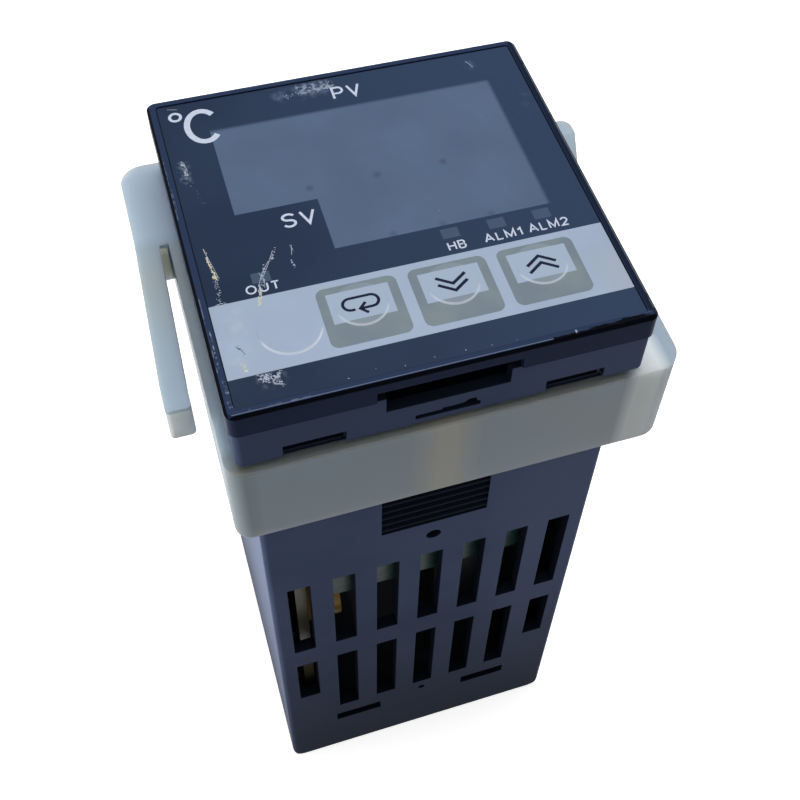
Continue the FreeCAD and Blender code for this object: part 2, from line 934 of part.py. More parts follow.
def make_transformer_bobbin():
    """Winding and bobbin round the core's middle leg, on two feet that meet the board."""
    z = core_middle()
    x1 = board_face_x - core_stand - core_leg - bobbin_gap
    x0 = board_face_x - core_stand - core_height + core_leg + bobbin_gap
    mid = core_leg + bobbin_gap
    outer = mid + core_room() - 2 * bobbin_gap
    side_y = core_width / 2 + bobbin_gap
    reach = core_width / 2 + bobbin_reach
    body = block(x0, x1, -reach, reach, z - outer, z + outer)
    body = body.cut(block(x0 - 1, x1 + 1, -side_y, side_y, z - mid, z + mid))
    for side in (-1, 1):
        y0, y1 = sorted([side * reach, side * (reach - bobbin_foot)])
        body = body.fuse(block(x1 - bobbin_gap, board_face_x, y0, y1, z - outer, z + outer))
    return body.removeSplitter()


def relay(y, z):
    x0 = board_face_x - relay_height
    y0 = y - relay_width / 2
    body = block(x0, board_face_x, y0, y0 + relay_width, z, z + relay_length)
    lid = [e for e in body.Edges if e.BoundBox.XMax < x0 + 0.1]
    return body.makeChamfer(relay_edge, lid)


def make_output_relay():
    return relay(0, core_middle() + core_length / 2 + output_relay_space)


def make_alarm_relays():
    y = (relay_width + alarm_relay_gap) / 2
    return [relay(-y, alarm_relay_z), relay(y, alarm_relay_z)]


def choke_middle():
    """The choke stands just short of the option board's end."""
    return option_board_z - choke_space - choke_outer


def make_filter_capacitors():
    """Two can capacitors on the control board."""
    cans = []
    z = choke_middle() - choke_outer - capacitor_space - capacitor_radius
    for side in (-1, 1):
        foot = V(-board_face_x, side * (capacitor_radius + capacitor_gap / 2), z)
        cans.append(Part.makeCylinder(capacitor_radius, capacitor_height, foot, V(1, 0, 0)))
    return cans


def make_choke_coil():
    """A ring choke lying against the control board, close to the near vents."""
    foot = V(-board_face_x, choke_inset + choke_outer - inner / 2, choke_middle())
    ring = Part.makeCylinder(choke_outer, choke_width, foot, V(1, 0, 0))
    return ring.cut(Part.makeCylinder(choke_inner, choke_width, foot, V(1, 0, 0)))


def make_processor():
    """The control chip with its rows of legs."""
    z = board_back_z - processor_inset
    x0 = processor_stand - board_face_x
    half = processor_size / 2
    body = block(x0, x0 + processor_thick, processor_y - half, processor_y + half, z - half, z + half)
    pitch = processor_size / (leg_count + 1)
    reach = half + leg_out
    for i in range(leg_count):
        low = z + (i - (leg_count - 1) / 2) * pitch - leg_width / 2
        leg = block(-board_face_x, leg_thick - board_face_x, processor_y - reach, processor_y + reach,
                    low, low + leg_width)
        body = body.fuse(leg)
    return body.removeSplitter()


def save(name, shapes):
    """Writes one node: a single solid, or a group of separate ones."""
    solids = shapes if isinstance(shapes, list) else [shapes]
    for shape in solids:
        if not shape.isValid() or len(shape.Solids) != 1:
            print("check", name, "solids:", len(shape.Solids), "valid:", shape.isValid())
    group = solids[0] if len(solids) == 1 else Part.makeCompound(solids)
    group.exportStep("parts/" + name + ".step")


def main():
    os.makedirs("parts", exist_ok=True)
    save("rear_case", make_rear_case())
    save("terminal_block", make_terminal_block())
    save("terminal_contacts", make_terminal_contacts())
    save("terminal_screws", make_terminal_screws())
    save("mounting_adapter", make_mounting_adapter())
    save("front_bezel", make_front_bezel())
    save("front_sheet", make_front_sheet())
    save("display_filter", make_display_filter())
    for name, x in key_places():
        save(name, make_key(x))
        save(name.replace("key", "plunger"), make_plunger(x))
    save("key_switches", make_key_switches())
    save("indicator_lamps", make_indicator_lamps())
    save("display_board", make_display_board())
    save("pv_display", make_pv_display())
    save("sv_display", make_sv_display())
    save("control_board", side_board(-1))
    save("power_board", side_board(1))
    save("option_board", make_option_board())
    save("board_headers", make_board_headers())
    save("transformer_core", make_transformer_core())
    save("transformer_bobbin", make_transformer_bobbin())
    save("output_relay", make_output_relay())
    save("alarm_relays", make_alarm_relays())
    save("filter_capacitors", make_filter_capacitors())
    save("choke_coil", make_choke_coil())
    save("processor", make_processor())


main()
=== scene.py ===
import bpy
import bmesh
import math
import random
from mathutils import Matrix, Vector


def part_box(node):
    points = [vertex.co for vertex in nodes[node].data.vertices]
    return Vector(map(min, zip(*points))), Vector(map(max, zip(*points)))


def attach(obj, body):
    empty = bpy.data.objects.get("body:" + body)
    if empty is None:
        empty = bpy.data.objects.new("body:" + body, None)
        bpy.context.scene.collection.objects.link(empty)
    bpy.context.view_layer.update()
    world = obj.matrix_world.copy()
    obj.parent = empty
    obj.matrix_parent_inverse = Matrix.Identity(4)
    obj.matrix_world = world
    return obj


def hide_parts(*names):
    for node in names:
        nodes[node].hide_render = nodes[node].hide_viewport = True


# Panel-mount temperature controller: finishes, print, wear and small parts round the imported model.

mm = 0.001
weld = 0.002 * mm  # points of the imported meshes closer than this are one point
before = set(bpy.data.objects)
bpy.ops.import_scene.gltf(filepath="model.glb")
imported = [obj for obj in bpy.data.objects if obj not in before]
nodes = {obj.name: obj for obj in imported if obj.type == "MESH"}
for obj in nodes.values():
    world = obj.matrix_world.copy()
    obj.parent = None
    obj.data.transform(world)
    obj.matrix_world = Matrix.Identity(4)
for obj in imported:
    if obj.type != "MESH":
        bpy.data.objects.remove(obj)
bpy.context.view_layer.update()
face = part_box("front_bezel")[1].z  # front of the bezel's rim
sheetTop = face - 0.15 * mm  # the printed film lies this far below the rim
caseSize = 44.8  # outside of the square case, in mm
discRise = 0.15 * mm  # how far the raised discs of the film stand up
discLine = {"out": 0.08, "in": 0.12, "soft": 0.07}  # a disc's rim with painted highlight: past and inside its radius, in mm
edgeAngle = math.radians(34)  # edges that turn by more than this are eased
flatAngle = math.radians(1)  # faces that turn by less than this become one
print("frame loaded:", len(nodes), "nodes")


def hexColour(code):  # sRGB hex to linear RGBA
    parts = [int(code[i:i + 2], 16) / 255 for i in (1, 3, 5)]
    linear = [p / 12.92 if p <= 0.04045 else ((p + 0.055) / 1.055) ** 2.4 for p in parts]
    return (*linear, 1.0)


mathNode, vectorNode, rangeNode = "ShaderNodeMath", "ShaderNodeVectorMath", "ShaderNodeMapRange"
smooth = {"interpolation_type": "SMOOTHSTEP"}


def addNode(tree, kind, inputs=None, **settings):  # adds one node with its settings and links
    node = tree.nodes.new(kind)
    for name, value in settings.items():
        setattr(node, name, value)
    for socket, value in (inputs or {}).items():
        if isinstance(value, bpy.types.NodeSocket):
            tree.links.new(value, node.inputs[socket])
        else:
            node.inputs[socket].default_value = value
    return next((o for o in node.outputs if o.enabled), node)


def newMaterial(name, colour, roughness, **sockets):  # a Principled material, and its Object coordinates
    material = bpy.data.materials.new(name)
    material.use_nodes = True
    tree = material.node_tree
    shader = tree.nodes["Principled BSDF"]
    shader.inputs["Base Color"].default_value = hexColour(colour)
    shader.inputs["Roughness"].default_value = roughness
    for socket, value in sockets.items():
        shader.inputs[socket.replace("_", " ")].default_value = value
    place = addNode(tree, "ShaderNodeTexCoord").node.outputs["Object"]
    return material, tree, place


def surface(material, place, colour, size=0.0, height=0.0):  # colour, and moulded grain as bump, in mm
    tree = material.node_tree
    shader = tree.nodes["Principled BSDF"]
    tree.links.new(colour, shader.inputs["Base Color"])
    if size:
        given = {"Vector": place, "Scale": 1 / (size * mm), "Detail": 3.0}
        pattern = addNode(tree, "ShaderNodeTexNoise", given)
        bump = addNode(tree, "ShaderNodeBump", {"Height": pattern, "Distance": height * mm})
        tree.links.new(bump, shader.inputs["Normal"])
    return material


def paintOver(tree, under, over, *masks):  # one colour over another where all the masks are 1
    amount = masks[0]
    for mask in masks[1:]:
        amount = addNode(tree, mathNode, {0: amount, 1: mask}, operation="MULTIPLY")
    colours = {i: hexColour(c) if isinstance(c, str) else c for i, c in ((6, under), (7, over))}
    return addNode(tree, "ShaderNodeMix", {0: amount, **colours}, data_type="RGBA")


def ragged(tree, place, size, reach):  # coordinates shaken so that a mask's edges come out torn, in mm
    pattern = addNode(tree, "ShaderNodeTexNoise", {"Vector": place, "Scale": 1 / (size * mm), "Detail": 4.0})
    pattern = pattern.node.outputs["Color"]
    shake = addNode(tree, vectorNode, {0: pattern, 1: (0.5, 0.5, 0.5)}, operation="SUBTRACT")
    shake = addNode(tree, vectorNode, {0: shake, "Scale": reach * 2 * mm}, operation="SCALE")
    return addNode(tree, vectorNode, {0: place, 1: shake}, operation="ADD")


def cloud(tree, place, size, low, high, detail=3.0):  # 0 to 1 in soft patches, size in mm
    given = {"Vector": place, "Scale": 1 / (size * mm), "Detail": detail}
    pattern = addNode(tree, "ShaderNodeTexNoise", given)
    return addNode(tree, rangeNode, {"Value": pattern, "From Min": low, "From Max": high})


def fieldMask(tree, place, x0, x1, y0, y1, radius=0.0, soft=0.08):  # 1 inside a rectangle on the face, in mm
    centre = ((x0 + x1) / 2 * mm, (y0 + y1) / 2 * mm, 0)
    half = (((x1 - x0) / 2 - radius) * mm, ((y1 - y0) / 2 - radius) * mm, 1.0)
    zero, reach = (0, 0, 0), place
    for operation, other in (("SUBTRACT", centre), ("ABSOLUTE", zero), ("SUBTRACT", half), ("MAXIMUM", zero),
                             ("LENGTH", zero)):
        reach = addNode(tree, vectorNode, {0: reach, 1: other}, operation=operation)
    ends = {"Value": reach, "From Min": (radius + soft) * mm, "From Max": max(radius - soft, 0) * mm}
    return addNode(tree, rangeNode, ends)


def slopeMask(tree, place, start, end, axis="Z", **settings):  # 0 at one end to 1 at the other, in mm
    reach = addNode(tree, "ShaderNodeSeparateXYZ", {0: place}).node.outputs[axis]
    ends = {"Value": reach, "From Min": start * mm, "From Max": end * mm}
    return addNode(tree, rangeNode, ends, **settings)


def spotMask(tree, place, x, y, radius, soft):  # 1 inside a round spot on the face, in mm
    at = {0: place, 1: (x * mm, y * mm, sheetTop)}
    reach = addNode(tree, vectorNode, at, operation="DISTANCE")
    ends = {"Value": reach, "From Min": (radius + soft) * mm, "From Max": (radius - soft) * mm}
    return addNode(tree, rangeNode, ends, **smooth)


# Materials of the housing

def mouldedAbsCase():  # spark-eroded mould: matt, faint fine grain, dusty patches; painted shade makes it darker towards the bottom and bluer above, painted glare pales the left wall, painted light brightens the near wall at the right, painted shade darkens the slots
    look = {"low": "#333D53", "high": "#586689", "dustAndPaintedLight": "#687599", "paintedGlare": "#8F9FC2",
            "inside": "#04060B", "roughness": 0.4, "dust": 0.04, "dustTint": "#C9D6F0", "paintedShadeTop": 80,
            "dustyAmount": 0.6, "paintedLightField": (14, 30, -30, -20), "paintedLightSoft": 7, "paintedLightAmount": 0.8,
            "leftWall": (-24, -22.36, -30, 30), "paintedGlareHeights": (10, 90), "paintedGlareAmount": 0.7,
            "flangeHeights": (99.98, 100), "flangeAmount": 0.28, "skin": 0.04,
            "deep": ((caseSize / 2, 0.8, (7.9, 8.1), 0.88), (23.75, 0.9, (100.3, 100.4), 0.8))}
    material, tree, place = newMaterial(
        "mouldedAbsCase", look["high"], look["roughness"], IOR=1.04, Sheen_Weight=look["dust"],
        Sheen_Roughness=0.15, Sheen_Tint=hexColour(look["dustTint"]))
    # painted shade: darker towards the bottom, bluer and lighter towards the top
    paintedShadeRamp = slopeMask(tree, place, 0, look["paintedShadeTop"], **smooth)
    colour = paintOver(tree, look["low"], look["high"], paintedShadeRamp)
    patches = cloud(tree, place, 16, 0.35, 0.7)
    colour = paintOver(tree, colour, look["dustAndPaintedLight"], patches, paintedShadeRamp, look["dustyAmount"])
    # painted light: the near wall is painted lighter towards the right
    right = fieldMask(tree, place, *look["paintedLightField"], soft=look["paintedLightSoft"])
    colour = paintOver(tree, colour, look["dustAndPaintedLight"], right, paintedShadeRamp, look["paintedLightAmount"])
    side = fieldMask(tree, place, *look["leftWall"], soft=0.03)  # painted glare: the left wall is painted paler towards the top, standing in for a grazing reflection
    above = slopeMask(tree, place, *look["paintedGlareHeights"])
    flange = slopeMask(tree, place, *look["flangeHeights"])
    tube = addNode(tree, mathNode, {0: 1.0, 1: flange}, operation="SUBTRACT")
    colour = paintOver(tree, colour, look["paintedGlare"], side, above, tube, look["paintedGlareAmount"])
    colour = paintOver(tree, colour, look["low"], flange, look["flangeAmount"])
    for half, radius, heights, amount in look["deep"]:  # painted shade: slots and notches are painted dark behind the skin
        half -= look["skin"]
        inner = fieldMask(tree, place, -half, half, -half, half, radius=radius, soft=0.02)
        colour = paintOver(tree, colour, look["inside"], inner, slopeMask(tree, place, *heights), amount)
    return surface(material, place, colour, size=0.25, height=0.006)


def polishedAbsBezel():  # smoother mould than the case: half gloss, with painted shade on the rounded edge and the skirt, a top face painted lighter, and handling wear
    look = {"colour": "#1F2C4C", "top": "#2B3955", "edge": "#05080F", "skirt": "#070A12", "roughness": 0.32,
            "topBelow": (0.05, 0.02), "edgeBelow": (0.55, 0.35), "skirtBelow": (3.4, 3.7), "rimHalf": 23.66,
            "skirtHalf": 23.2, "tornSize": 0.7, "tornReach": 0.14}
    material, tree, place = newMaterial("polishedAbsBezel", look["colour"], look["roughness"], IOR=1.07)
    top, edge, deep = (slopeMask(tree, place, *(face / mm - below for below in look[name]))
                       for name in ("topBelow", "edgeBelow", "skirtBelow"))
    inner, skirt = (fieldMask(tree, place, -half, half, -half, half, soft=soft)
                    for half, soft in ((look["rimHalf"], 0.03), (look["skirtHalf"], 0.02)))
    # painted light: the rim's top face is painted lighter than its sides
    colour = paintOver(tree, look["colour"], look["top"], top)
    # painted shade: the rim's rounded edge is painted near black
    shadedEdge = addNode(tree, mathNode, {0: edge, 1: inner}, operation="SUBTRACT", use_clamp=True)
    colour = paintOver(tree, colour, look["edge"], shadedEdge)
    # painted shade: the skirt, deeper than the rim inside the case, is painted near black
    colour = paintOver(tree, colour, look["skirt"], skirt, deep)
    torn = ragged(tree, place, look["tornSize"], look["tornReach"])
    for rubs, rubPlace in ((bezelLines, place), (bezelRubs, torn)):
        for x0, x1, y0, y1, size, low, amount, tint in rubs:
            zone = fieldMask(tree, rubPlace, x0, x1, y0, y1, soft=0.03)
            worn = cloud(tree, place, size, low, low + 0.12, 5.0)
            colour = paintOver(tree, colour, tint, zone, worn, amount)
    return surface(material, place, colour, size=0.4, height=0.004)


bezelLines = [  # lines along the rim, rubbed wear with a painted highlight on the edge, the dark one down the right side painted shade: x0, x1, y0, y1, patch size, threshold, amount, tint
    (-23.62, -23.57, 4, 14, 0.9, 0.46, 0.55, "#8090A8"),
    (-23.6, -23.55, -18, -8, 1.3, 0.46, 0.6, "#8E9BB2"),
    (-23.3, 11.5, -23.57, -23.52, 2.4, 0.28, 0.8, "#77839B"),
    (-23.8, 23.8, 23.46, 23.52, 1.4, 0.46, 0.5, "#59657E"),
    # painted shade down the right side of the rim
    (23.02, 23.8, -23, 23.3, 6, -0.2, 0.7, "#0C121F"),
    (23.6, 23.68, -22.6, 23.2, 2, 0.3, 0.75, "#5E6A7A"),
]
bezelRubs = [  # the same for torn patches
    (-23.5, -23.42, 5.5, 12.5, 0.8, 0.5, 0.4, "#6C7A94"),
    (-23.4, -23.28, -17.5, -12.5, 0.6, 0.48, 0.6, "#A5B0C2"),
    (-23.35, -22.98, -22.7, -18.9, 0.4, 0.5, 0.6, "#8E9AAE"),
    (-21.5, -15, -23.46, -23.34, 0.8, 0.5, 0.5, "#8491A8"),
    (11.5, 23.6, -23.8, -23.44, 3, 0.2, 1, "#04060D"),
    (15, 23.6, -23.6, -23.26, 1.6, 0.36, 1, "#04060D"),
    (19.6, 23.6, -23.5, -23.08, 1.6, 0.34, 1, "#060A12"),
    (20.5, 23.3, -23.03, -22.98, 2, 0.3, 0.8, "#4A5875"),
    (14.1, 14.3, -23.5, -23.1, 0.4, 0.3, 0.9, "#A3AEBF"),
]


def naturalNylon():  # unfilled nylon is milky: light runs through it; on top of that, thick ends are painted lighter as glow and thin walls painted greyer as shade
    look = {"colour": "#9FB1C1", "warm": "#A0ACB1", "roughness": 0.4, "depth": 4.0, "armRise": 2.2}
    depth = look["depth"] * mm
    material, tree, place = newMaterial(
        "naturalNylon", look["colour"], look["roughness"], IOR=1.25, Subsurface_Weight=0.85,
        Subsurface_Scale=1.0, Subsurface_Radius=(depth, depth, depth * 0.9))
    colour = paintOver(tree, look["colour"], look["warm"], cloud(tree, place, 22, 0.4, 0.7, 1.0))
    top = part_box("mounting_adapter")[1].z / mm
    wing = top - look["armRise"]
    for field, soft, tint, amount, heights in (
            ((23.2, 26, -26, -20), 1.6, "#E9F4FA", 1, None),  # painted highlight on the thick corner at the right
            ((-26, -23.2, -26, -22), 1.6, "#87959B", 0.8, None),  # painted shade on the thin corner at the left
            ((-31, 31, 12, 26), 2, "#ABBCCC", 1, None),  # wings
            ((-1, 1, -26, -23.7), 3.5, "#CEC7B8", 0.6, None),  # warm light through the near wall
            ((-31, -25.5, -16.5, -15), 0.4, "#E9F4FA", 1, (top - 0.3, top - 0.8)),  # painted light on the end of the arm
            ((-27.5, -25.3, 9.6, 10.6), 0.15, "#FAFCF0", 1, (wing - 0.4, wing - 0.9)),  # painted light on the root of the slot, which lies in shade
            ((-24, 21.5, -26, -23.6), 1, "#84837C", 0.75, (wing - 0.7, wing - 0.1))):  # painted shadow of the flange on the ledge
        masks = [fieldMask(tree, place, *field, soft=soft), amount]
        if heights:
            masks.append(slopeMask(tree, place, *heights))
        colour = paintOver(tree, colour, tint, *masks)
    return surface(material, place, colour, size=0.9, height=0.01)


# Materials of the front

filmPrint = {  # fields of the print, in mm from the middle of the face
    "navy": "#1C2A42", "navyLight": "#32435F", "band": "#9DACC3", "bandLight": "#A3B3CA",
    "bandEnd": "#A6ABB1", "window": "#52637F", "windowLight": "#576985", "lamp": "#44536C",
    "bandField": (-22.8, 23, -19.2, -9.3), "bandEndField": (21.6, 24, -19.2, -15.5),
    "windowHigh": (-17.3, 18.4, 3.1, 17.5), "windowLow": (-7.6, 18.4, -4.8, 3.2),
    "lampFields": [(-17.5, -5.95), (4.55, -5.4), (10.15, -5.4), (15.7, -5.4)], "lampSize": (2, 1.4),
    "pvPoint": (-8.1, 4.95, 8.2, 3, 0.75), "svPoint": (-0.7, -4.55, 5.9, 3, 0.5), "point": "#414E68",
    "shadeEdges": (("Y", 17.55), ("X", 18.5)), "shadeWide": 0.7, "blankDisc": (-15.1, -14.25, 3.5),
    "rimHighlight": "#D6E0EE", "cutEdge": "#0A101E", "printHalf": 22.8, "paintedShadeAlong": (0.85, 0.3, 0),
    "paintedShadeFrom": -21, "paintedShadeTo": 15, "paintedShadeAmount": 0.75, "patchAmount": 0.4, "bandEndAmount": 0.4,
}


def printedPolycarbonateFilm():  # screen print under clear film: flat colours with a soft gloss over them
    look = filmPrint
    material, tree, place = newMaterial("printedPolycarbonateFilm", look["navy"], 0.36, IOR=1.13)
    # painted shade: the navy is painted darker towards the lower left and lighter towards the upper right
    across = addNode(tree, vectorNode, {0: place, 1: look["paintedShadeAlong"]}, operation="DOT_PRODUCT")
    ends = {"Value": across, "From Min": look["paintedShadeFrom"] * mm, "From Max": look["paintedShadeTo"] * mm}
    paintedShadeRamp = addNode(tree, rangeNode, ends)
    patches = cloud(tree, place, 16, 0.35, 0.75)
    colour = paintOver(tree, look["navy"], look["navyLight"], paintedShadeRamp, look["paintedShadeAmount"])
    colour = paintOver(tree, colour, look["navyLight"], patches, look["patchAmount"])
    light = paintOver(tree, look["band"], look["bandLight"], cloud(tree, place, 7, 0.3, 0.7))
    end = fieldMask(tree, place, *look["bandEndField"], soft=2.6)
    light = paintOver(tree, light, look["bandEnd"], end, look["bandEndAmount"])
    colour = paintOver(tree, colour, light, fieldMask(tree, place, *look["bandField"], soft=0.06))
    glass = paintOver(tree, look["window"], look["windowLight"], cloud(tree, place, 9, 0.35, 0.65))
    for x, y, pitch, count, depth in (look["pvPoint"], look["svPoint"]):
        for i in range(count):
            spot = spotMask(tree, place, x + i * pitch, y, radius=0.4, soft=0.36)
            glass = paintOver(tree, glass, look["point"], spot, depth)
    shade = [slopeMask(tree, place, edge, edge - look["shadeWide"], axis, **smooth)
             for axis, edge in look["shadeEdges"]]  # the recess's wall shades the window's top and right
    for field in ("windowHigh", "windowLow"):
        colour = paintOver(tree, colour, glass, fieldMask(tree, place, *look[field], soft=0.05), *shade)
    wide, high = look["lampSize"]
    for x, y in look["lampFields"]:
        lens = fieldMask(tree, place, x, x + wide, y - high, y, soft=0.06)
        colour = paintOver(tree, colour, look["lamp"], lens)
    # painted highlight on the near rim of the blank disc
    colour = paintOver(tree, colour, look["rimHighlight"], *rimHighlightMasks(tree, place, *look["blankDisc"]), 0.95)
    torn = ragged(tree, place, 0.8, 0.35)
    for x0, x1, y0, y1, size, low, amount, tint in filmRubs:
        zone = fieldMask(tree, torn, x0, x1, y0, y1, radius=min(x1 - x0, y1 - y0) * 0.45, soft=0.4)
        colour = paintOver(tree, colour, tint, zone, cloud(tree, place, size, low, low + 0.2, 5.0), amount)
    half = look["printHalf"]
    inner = fieldMask(tree, place, -half, half, -half, half, soft=0.04)
    colour = paintOver(tree, look["cutEdge"], colour, inner)
    return surface(material, place, colour, size=0.5, height=0.002)


def rimHighlightMasks(tree, place, x, y, radius):  # two masks for a painted highlight: a disc's rim, and its near side where the highlight falls
    outer = spotMask(tree, place, x, y, radius + discLine["out"], discLine["soft"])
    inner = spotMask(tree, place, x, y, radius - discLine["in"], discLine["soft"])
    line = addNode(tree, mathNode, {0: outer, 1: inner}, operation="SUBTRACT", use_clamp=True)
    near = slopeMask(tree, place, y - 0.1 * radius, y - 0.55 * radius, "Y", **smooth)
    return line, near


filmRubs = [  # rubbed patches: x0, x1, y0, y1, patch size, threshold, amount, tint
    (-8.8, -1, 20, 22.2, 1.2, 0.44, 0.5, "#60708F"),
    (-5.8, -1, 20.7, 22.4, 0.5, 0.46, 0.8, "#A3AFC8"),
    (-22, -21, 9.6, 13, 0.5, 0.46, 0.4, "#A3ADC0"),
    (16.4, 17.4, 19.8, 21.4, 0.8, 0.42, 0.5, "#5F6F92"),
    (-22.6, -19.6, -18.5, -9.6, 1.2, 0.5, 0.45, "#B4BECE"),
    (-20, -17, -21.1, -19.2, 0.5, 0.44, 0.3, "#8C98AE"),
    (21, 22.6, 8, 14, 1.2, 0.5, 0.4, "#47536C"),
]


def embossedKeyFilm(name, x, y):  # the same film over a key: grey, with a lighter patch and a raised disc
    look = {"grey": "#75828E", "greyLight": "#7E8B91", "patch": "#A1B1C7",
            "patchField": (-3.5, 3.5, -0.95, 3.15), "disc": "#909DAB", "discAmount": 0.45,
            "rimHighlight": "#CBD5E2", "lineAmount": 0.9}
    material, tree, place = newMaterial(name, look["grey"], 0.36, IOR=1.13)
    colour = paintOver(tree, look["grey"], look["greyLight"], cloud(tree, place, 4, 0.35, 0.65))
    middle, radius = y + keyDisc["up"], keyDisc["radius"]
    disc = spotMask(tree, place, x, middle, radius, 0.1)
    colour = paintOver(tree, colour, look["disc"], disc, look["discAmount"])
    x0, x1, y0, y1 = look["patchField"]
    patch = fieldMask(tree, place, x + x0, x + x1, y + y0, y + y1, soft=0.05)
    colour = paintOver(tree, colour, look["patch"], patch)
    # painted highlight on the near rim of the key's disc
    line = rimHighlightMasks(tree, place, x, middle, radius)
    colour = paintOver(tree, colour, look["rimHighlight"], *line, look["lineAmount"])
    return surface(material, place, colour, size=0.5, height=0.002)


def screenInk(name, colour, worn):  # opaque ink, very slightly uneven where it was pulled through the screen
    material, tree, place = newMaterial(name, colour, 0.45, IOR=1.12)
    return surface(material, place, paintOver(tree, colour, worn, cloud(tree, place, 0.5, 0.35, 0.75)))


def plainPlastic(name, colour, drift, roughness):  # moulded small parts: slight drift of tone, fine grain
    material, tree, place = newMaterial(name, colour, roughness, Specular_IOR_Level=0.15)
    colour = paintOver(tree, colour, drift, cloud(tree, place, 5.0, 0.35, 0.65))
    return surface(material, place, colour, size=0.3, height=0.01)


def brushedMetal(name, colour, dull, roughness):  # rolled or plated metal: small change of tone and gloss
    material, tree, place = newMaterial(name, colour, roughness, Metallic=1.0)
    patches = cloud(tree, place, 1.5, 0.35, 0.7)
    ends = {"Value": patches, "To Min": roughness, "To Max": roughness + 0.15}
    tree.links.new(addNode(tree, rangeNode, ends), tree.nodes["Principled BSDF"].inputs["Roughness"])
    return surface(material, place, paintOver(tree, colour, dull, patches))


def glassEpoxyBoard(name, thinAxis, pads=False):  # green solder mask over copper, sawn tan edge, gilt pads
    look = {"mask": "#173431", "track": "#1F4540", "edge": "#5F5A49", "gilt": "#B08F45", "trackPitch": 2.2,
            "trackEdge": (0.16, 0.1), "padPitch": 6.6, "padHalf": 1.3, "padHeights": (9.4, 15.5)}
    material, tree, place = newMaterial(name, look["mask"], 0.35, Specular_IOR_Level=0.15)
    given = {"Vector": place, "Scale": 1 / (look["trackPitch"] * mm)}
    cells = addNode(tree, "ShaderNodeTexVoronoi", given, feature="DISTANCE_TO_EDGE")
    ends = {"Value": cells, "From Min": look["trackEdge"][0], "From Max": look["trackEdge"][1]}
    lines = addNode(tree, rangeNode, ends)
    colour = paintOver(tree, look["mask"], look["track"], lines)
    if pads:
        along = addNode(tree, "ShaderNodeSeparateXYZ", {0: place}).node.outputs
        step = {0: along["Y"], 1: look["padPitch"] * mm}
        row = addNode(tree, mathNode, step, operation="FLOORED_MODULO")
        flat = addNode(tree, "ShaderNodeCombineXYZ", {0: row, 1: along["Z"]})
        middle, half = look["padPitch"] / 2, look["padHalf"]
        pad = fieldMask(tree, flat, middle - half, middle + half, *look["padHeights"])
        colour = paintOver(tree, colour, look["gilt"], pad)
    normal = addNode(tree, "ShaderNodeNewGeometry").node.outputs["True Normal"]
    facing = addNode(tree, "ShaderNodeSeparateXYZ", {0: normal}).node.outputs[thinAxis]
    facing = addNode(tree, mathNode, {0: facing}, operation="ABSOLUTE")
    colour = paintOver(tree, look["edge"], colour, facing)
    return surface(material, place, colour, size=0.6, height=0.01)


# Making pieces

def addObject(name, data):
    piece = bpy.data.objects.new(name, data)
    bpy.context.scene.collection.objects.link(piece)
    return piece


def addMesh(name, mesh, material):
    mesh.materials.clear()
    mesh.materials.append(material)
    return addObject(name, mesh)


def meshFrom(work, name):  # a finished bmesh as a new mesh
    mesh = bpy.data.meshes.new(name)
    work.to_mesh(mesh)
    work.free()
    return mesh


def weldedCopy(node):  # a CAD node's mesh, copied, and opened for editing with its points joined
    mesh = nodes[node].data.copy()
    work = bmesh.new()
    work.from_mesh(mesh)
    bmesh.ops.remove_doubles(work, verts=work.verts, dist=weld)
    return mesh, work


def bakeModifiers(piece):  # a plain mesh of what the modifiers make
    graph = bpy.context.evaluated_depsgraph_get()
    mesh = bpy.data.meshes.new_from_object(piece.evaluated_get(graph))
    piece.modifiers.clear()
    piece.data = mesh
    return piece


def softened(node, name, material, body):  # a CAD node's copy with its edges eased
    mesh, work = weldedCopy(node)
    bmesh.ops.dissolve_limit(work, angle_limit=flatAngle, verts=work.verts, edges=work.edges)
    work.to_mesh(mesh)
    work.free()
    piece = addMesh(name, mesh, material)
    mesh.shade_smooth()
    mesh.set_sharp_from_angle(angle=edgeAngle)
    bevel = piece.modifiers.new("edges", "BEVEL")
    bevel.width = eased[node][0] * mm
    bevel.segments = eased[node][1]
    bevel.limit_method = "ANGLE"
    bevel.angle_limit = edgeAngle
    bevel.use_clamp_overlap = True
    piece.modifiers.new("shade", "WEIGHTED_NORMAL").keep_sharp = True
    bakeModifiers(piece)
    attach(piece, body)
    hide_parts(node)


def dressNode(node, material):  # a CAD node that keeps its own shape
    data = nodes[node].data
    if data.materials:
        data.materials[0] = material
    else:
        data.materials.append(material)


eased = {  # width of the eased edges in mm, and segments
    "rear_case": (0.16, 2), "front_bezel": (0.14, 2), "mounting_adapter": (0.4, 3),
    "terminal_block": (0.15, 2),
}


def makeHousing():
    softened("rear_case", "rearCaseShell", mouldedAbsCase(), "case")
    softened("front_bezel", "frontBezelFrame", polishedAbsBezel(), "mechanism")
    softened("mounting_adapter", "slideOnAdapter", naturalNylon(), "adapter")
    pbt = plainPlastic("glassFilledPbt", "#22262F", "#2A2F3A", 0.55)
    softened("terminal_block", "rearTerminalBlock", pbt, "case")
    print("housing done")


keyNames = ["mode_key", "down_key", "up_key"]
keyDisc = {"up": 1.04, "radius": 2.93}  # raised disc of a key, up from the key's middle, in mm


def keyCentre(node):  # in mm
    low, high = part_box(node)
    return (low.x + high.x) / 2 / mm, (low.y + high.y) / 2 / mm


def discOf(node):  # middle and radius of the node's raised disc, in mm
    x, y = keyCentre(node)
    return filmPrint["blankDisc"] if node == "front_sheet" else (x, y + keyDisc["up"], keyDisc["radius"])


def discHeight(node, y):  # the disc is pressed deeper at its far side, so that only its near rim stands out
    middle, radius = discOf(node)[1:]
    share = min(max((middle + radius - y / mm) / (2 * radius), 0), 1)
    least = 0.06  # what is left of the rise at the far side
    return sheetTop + discRise * (least + (1 - least) * share)


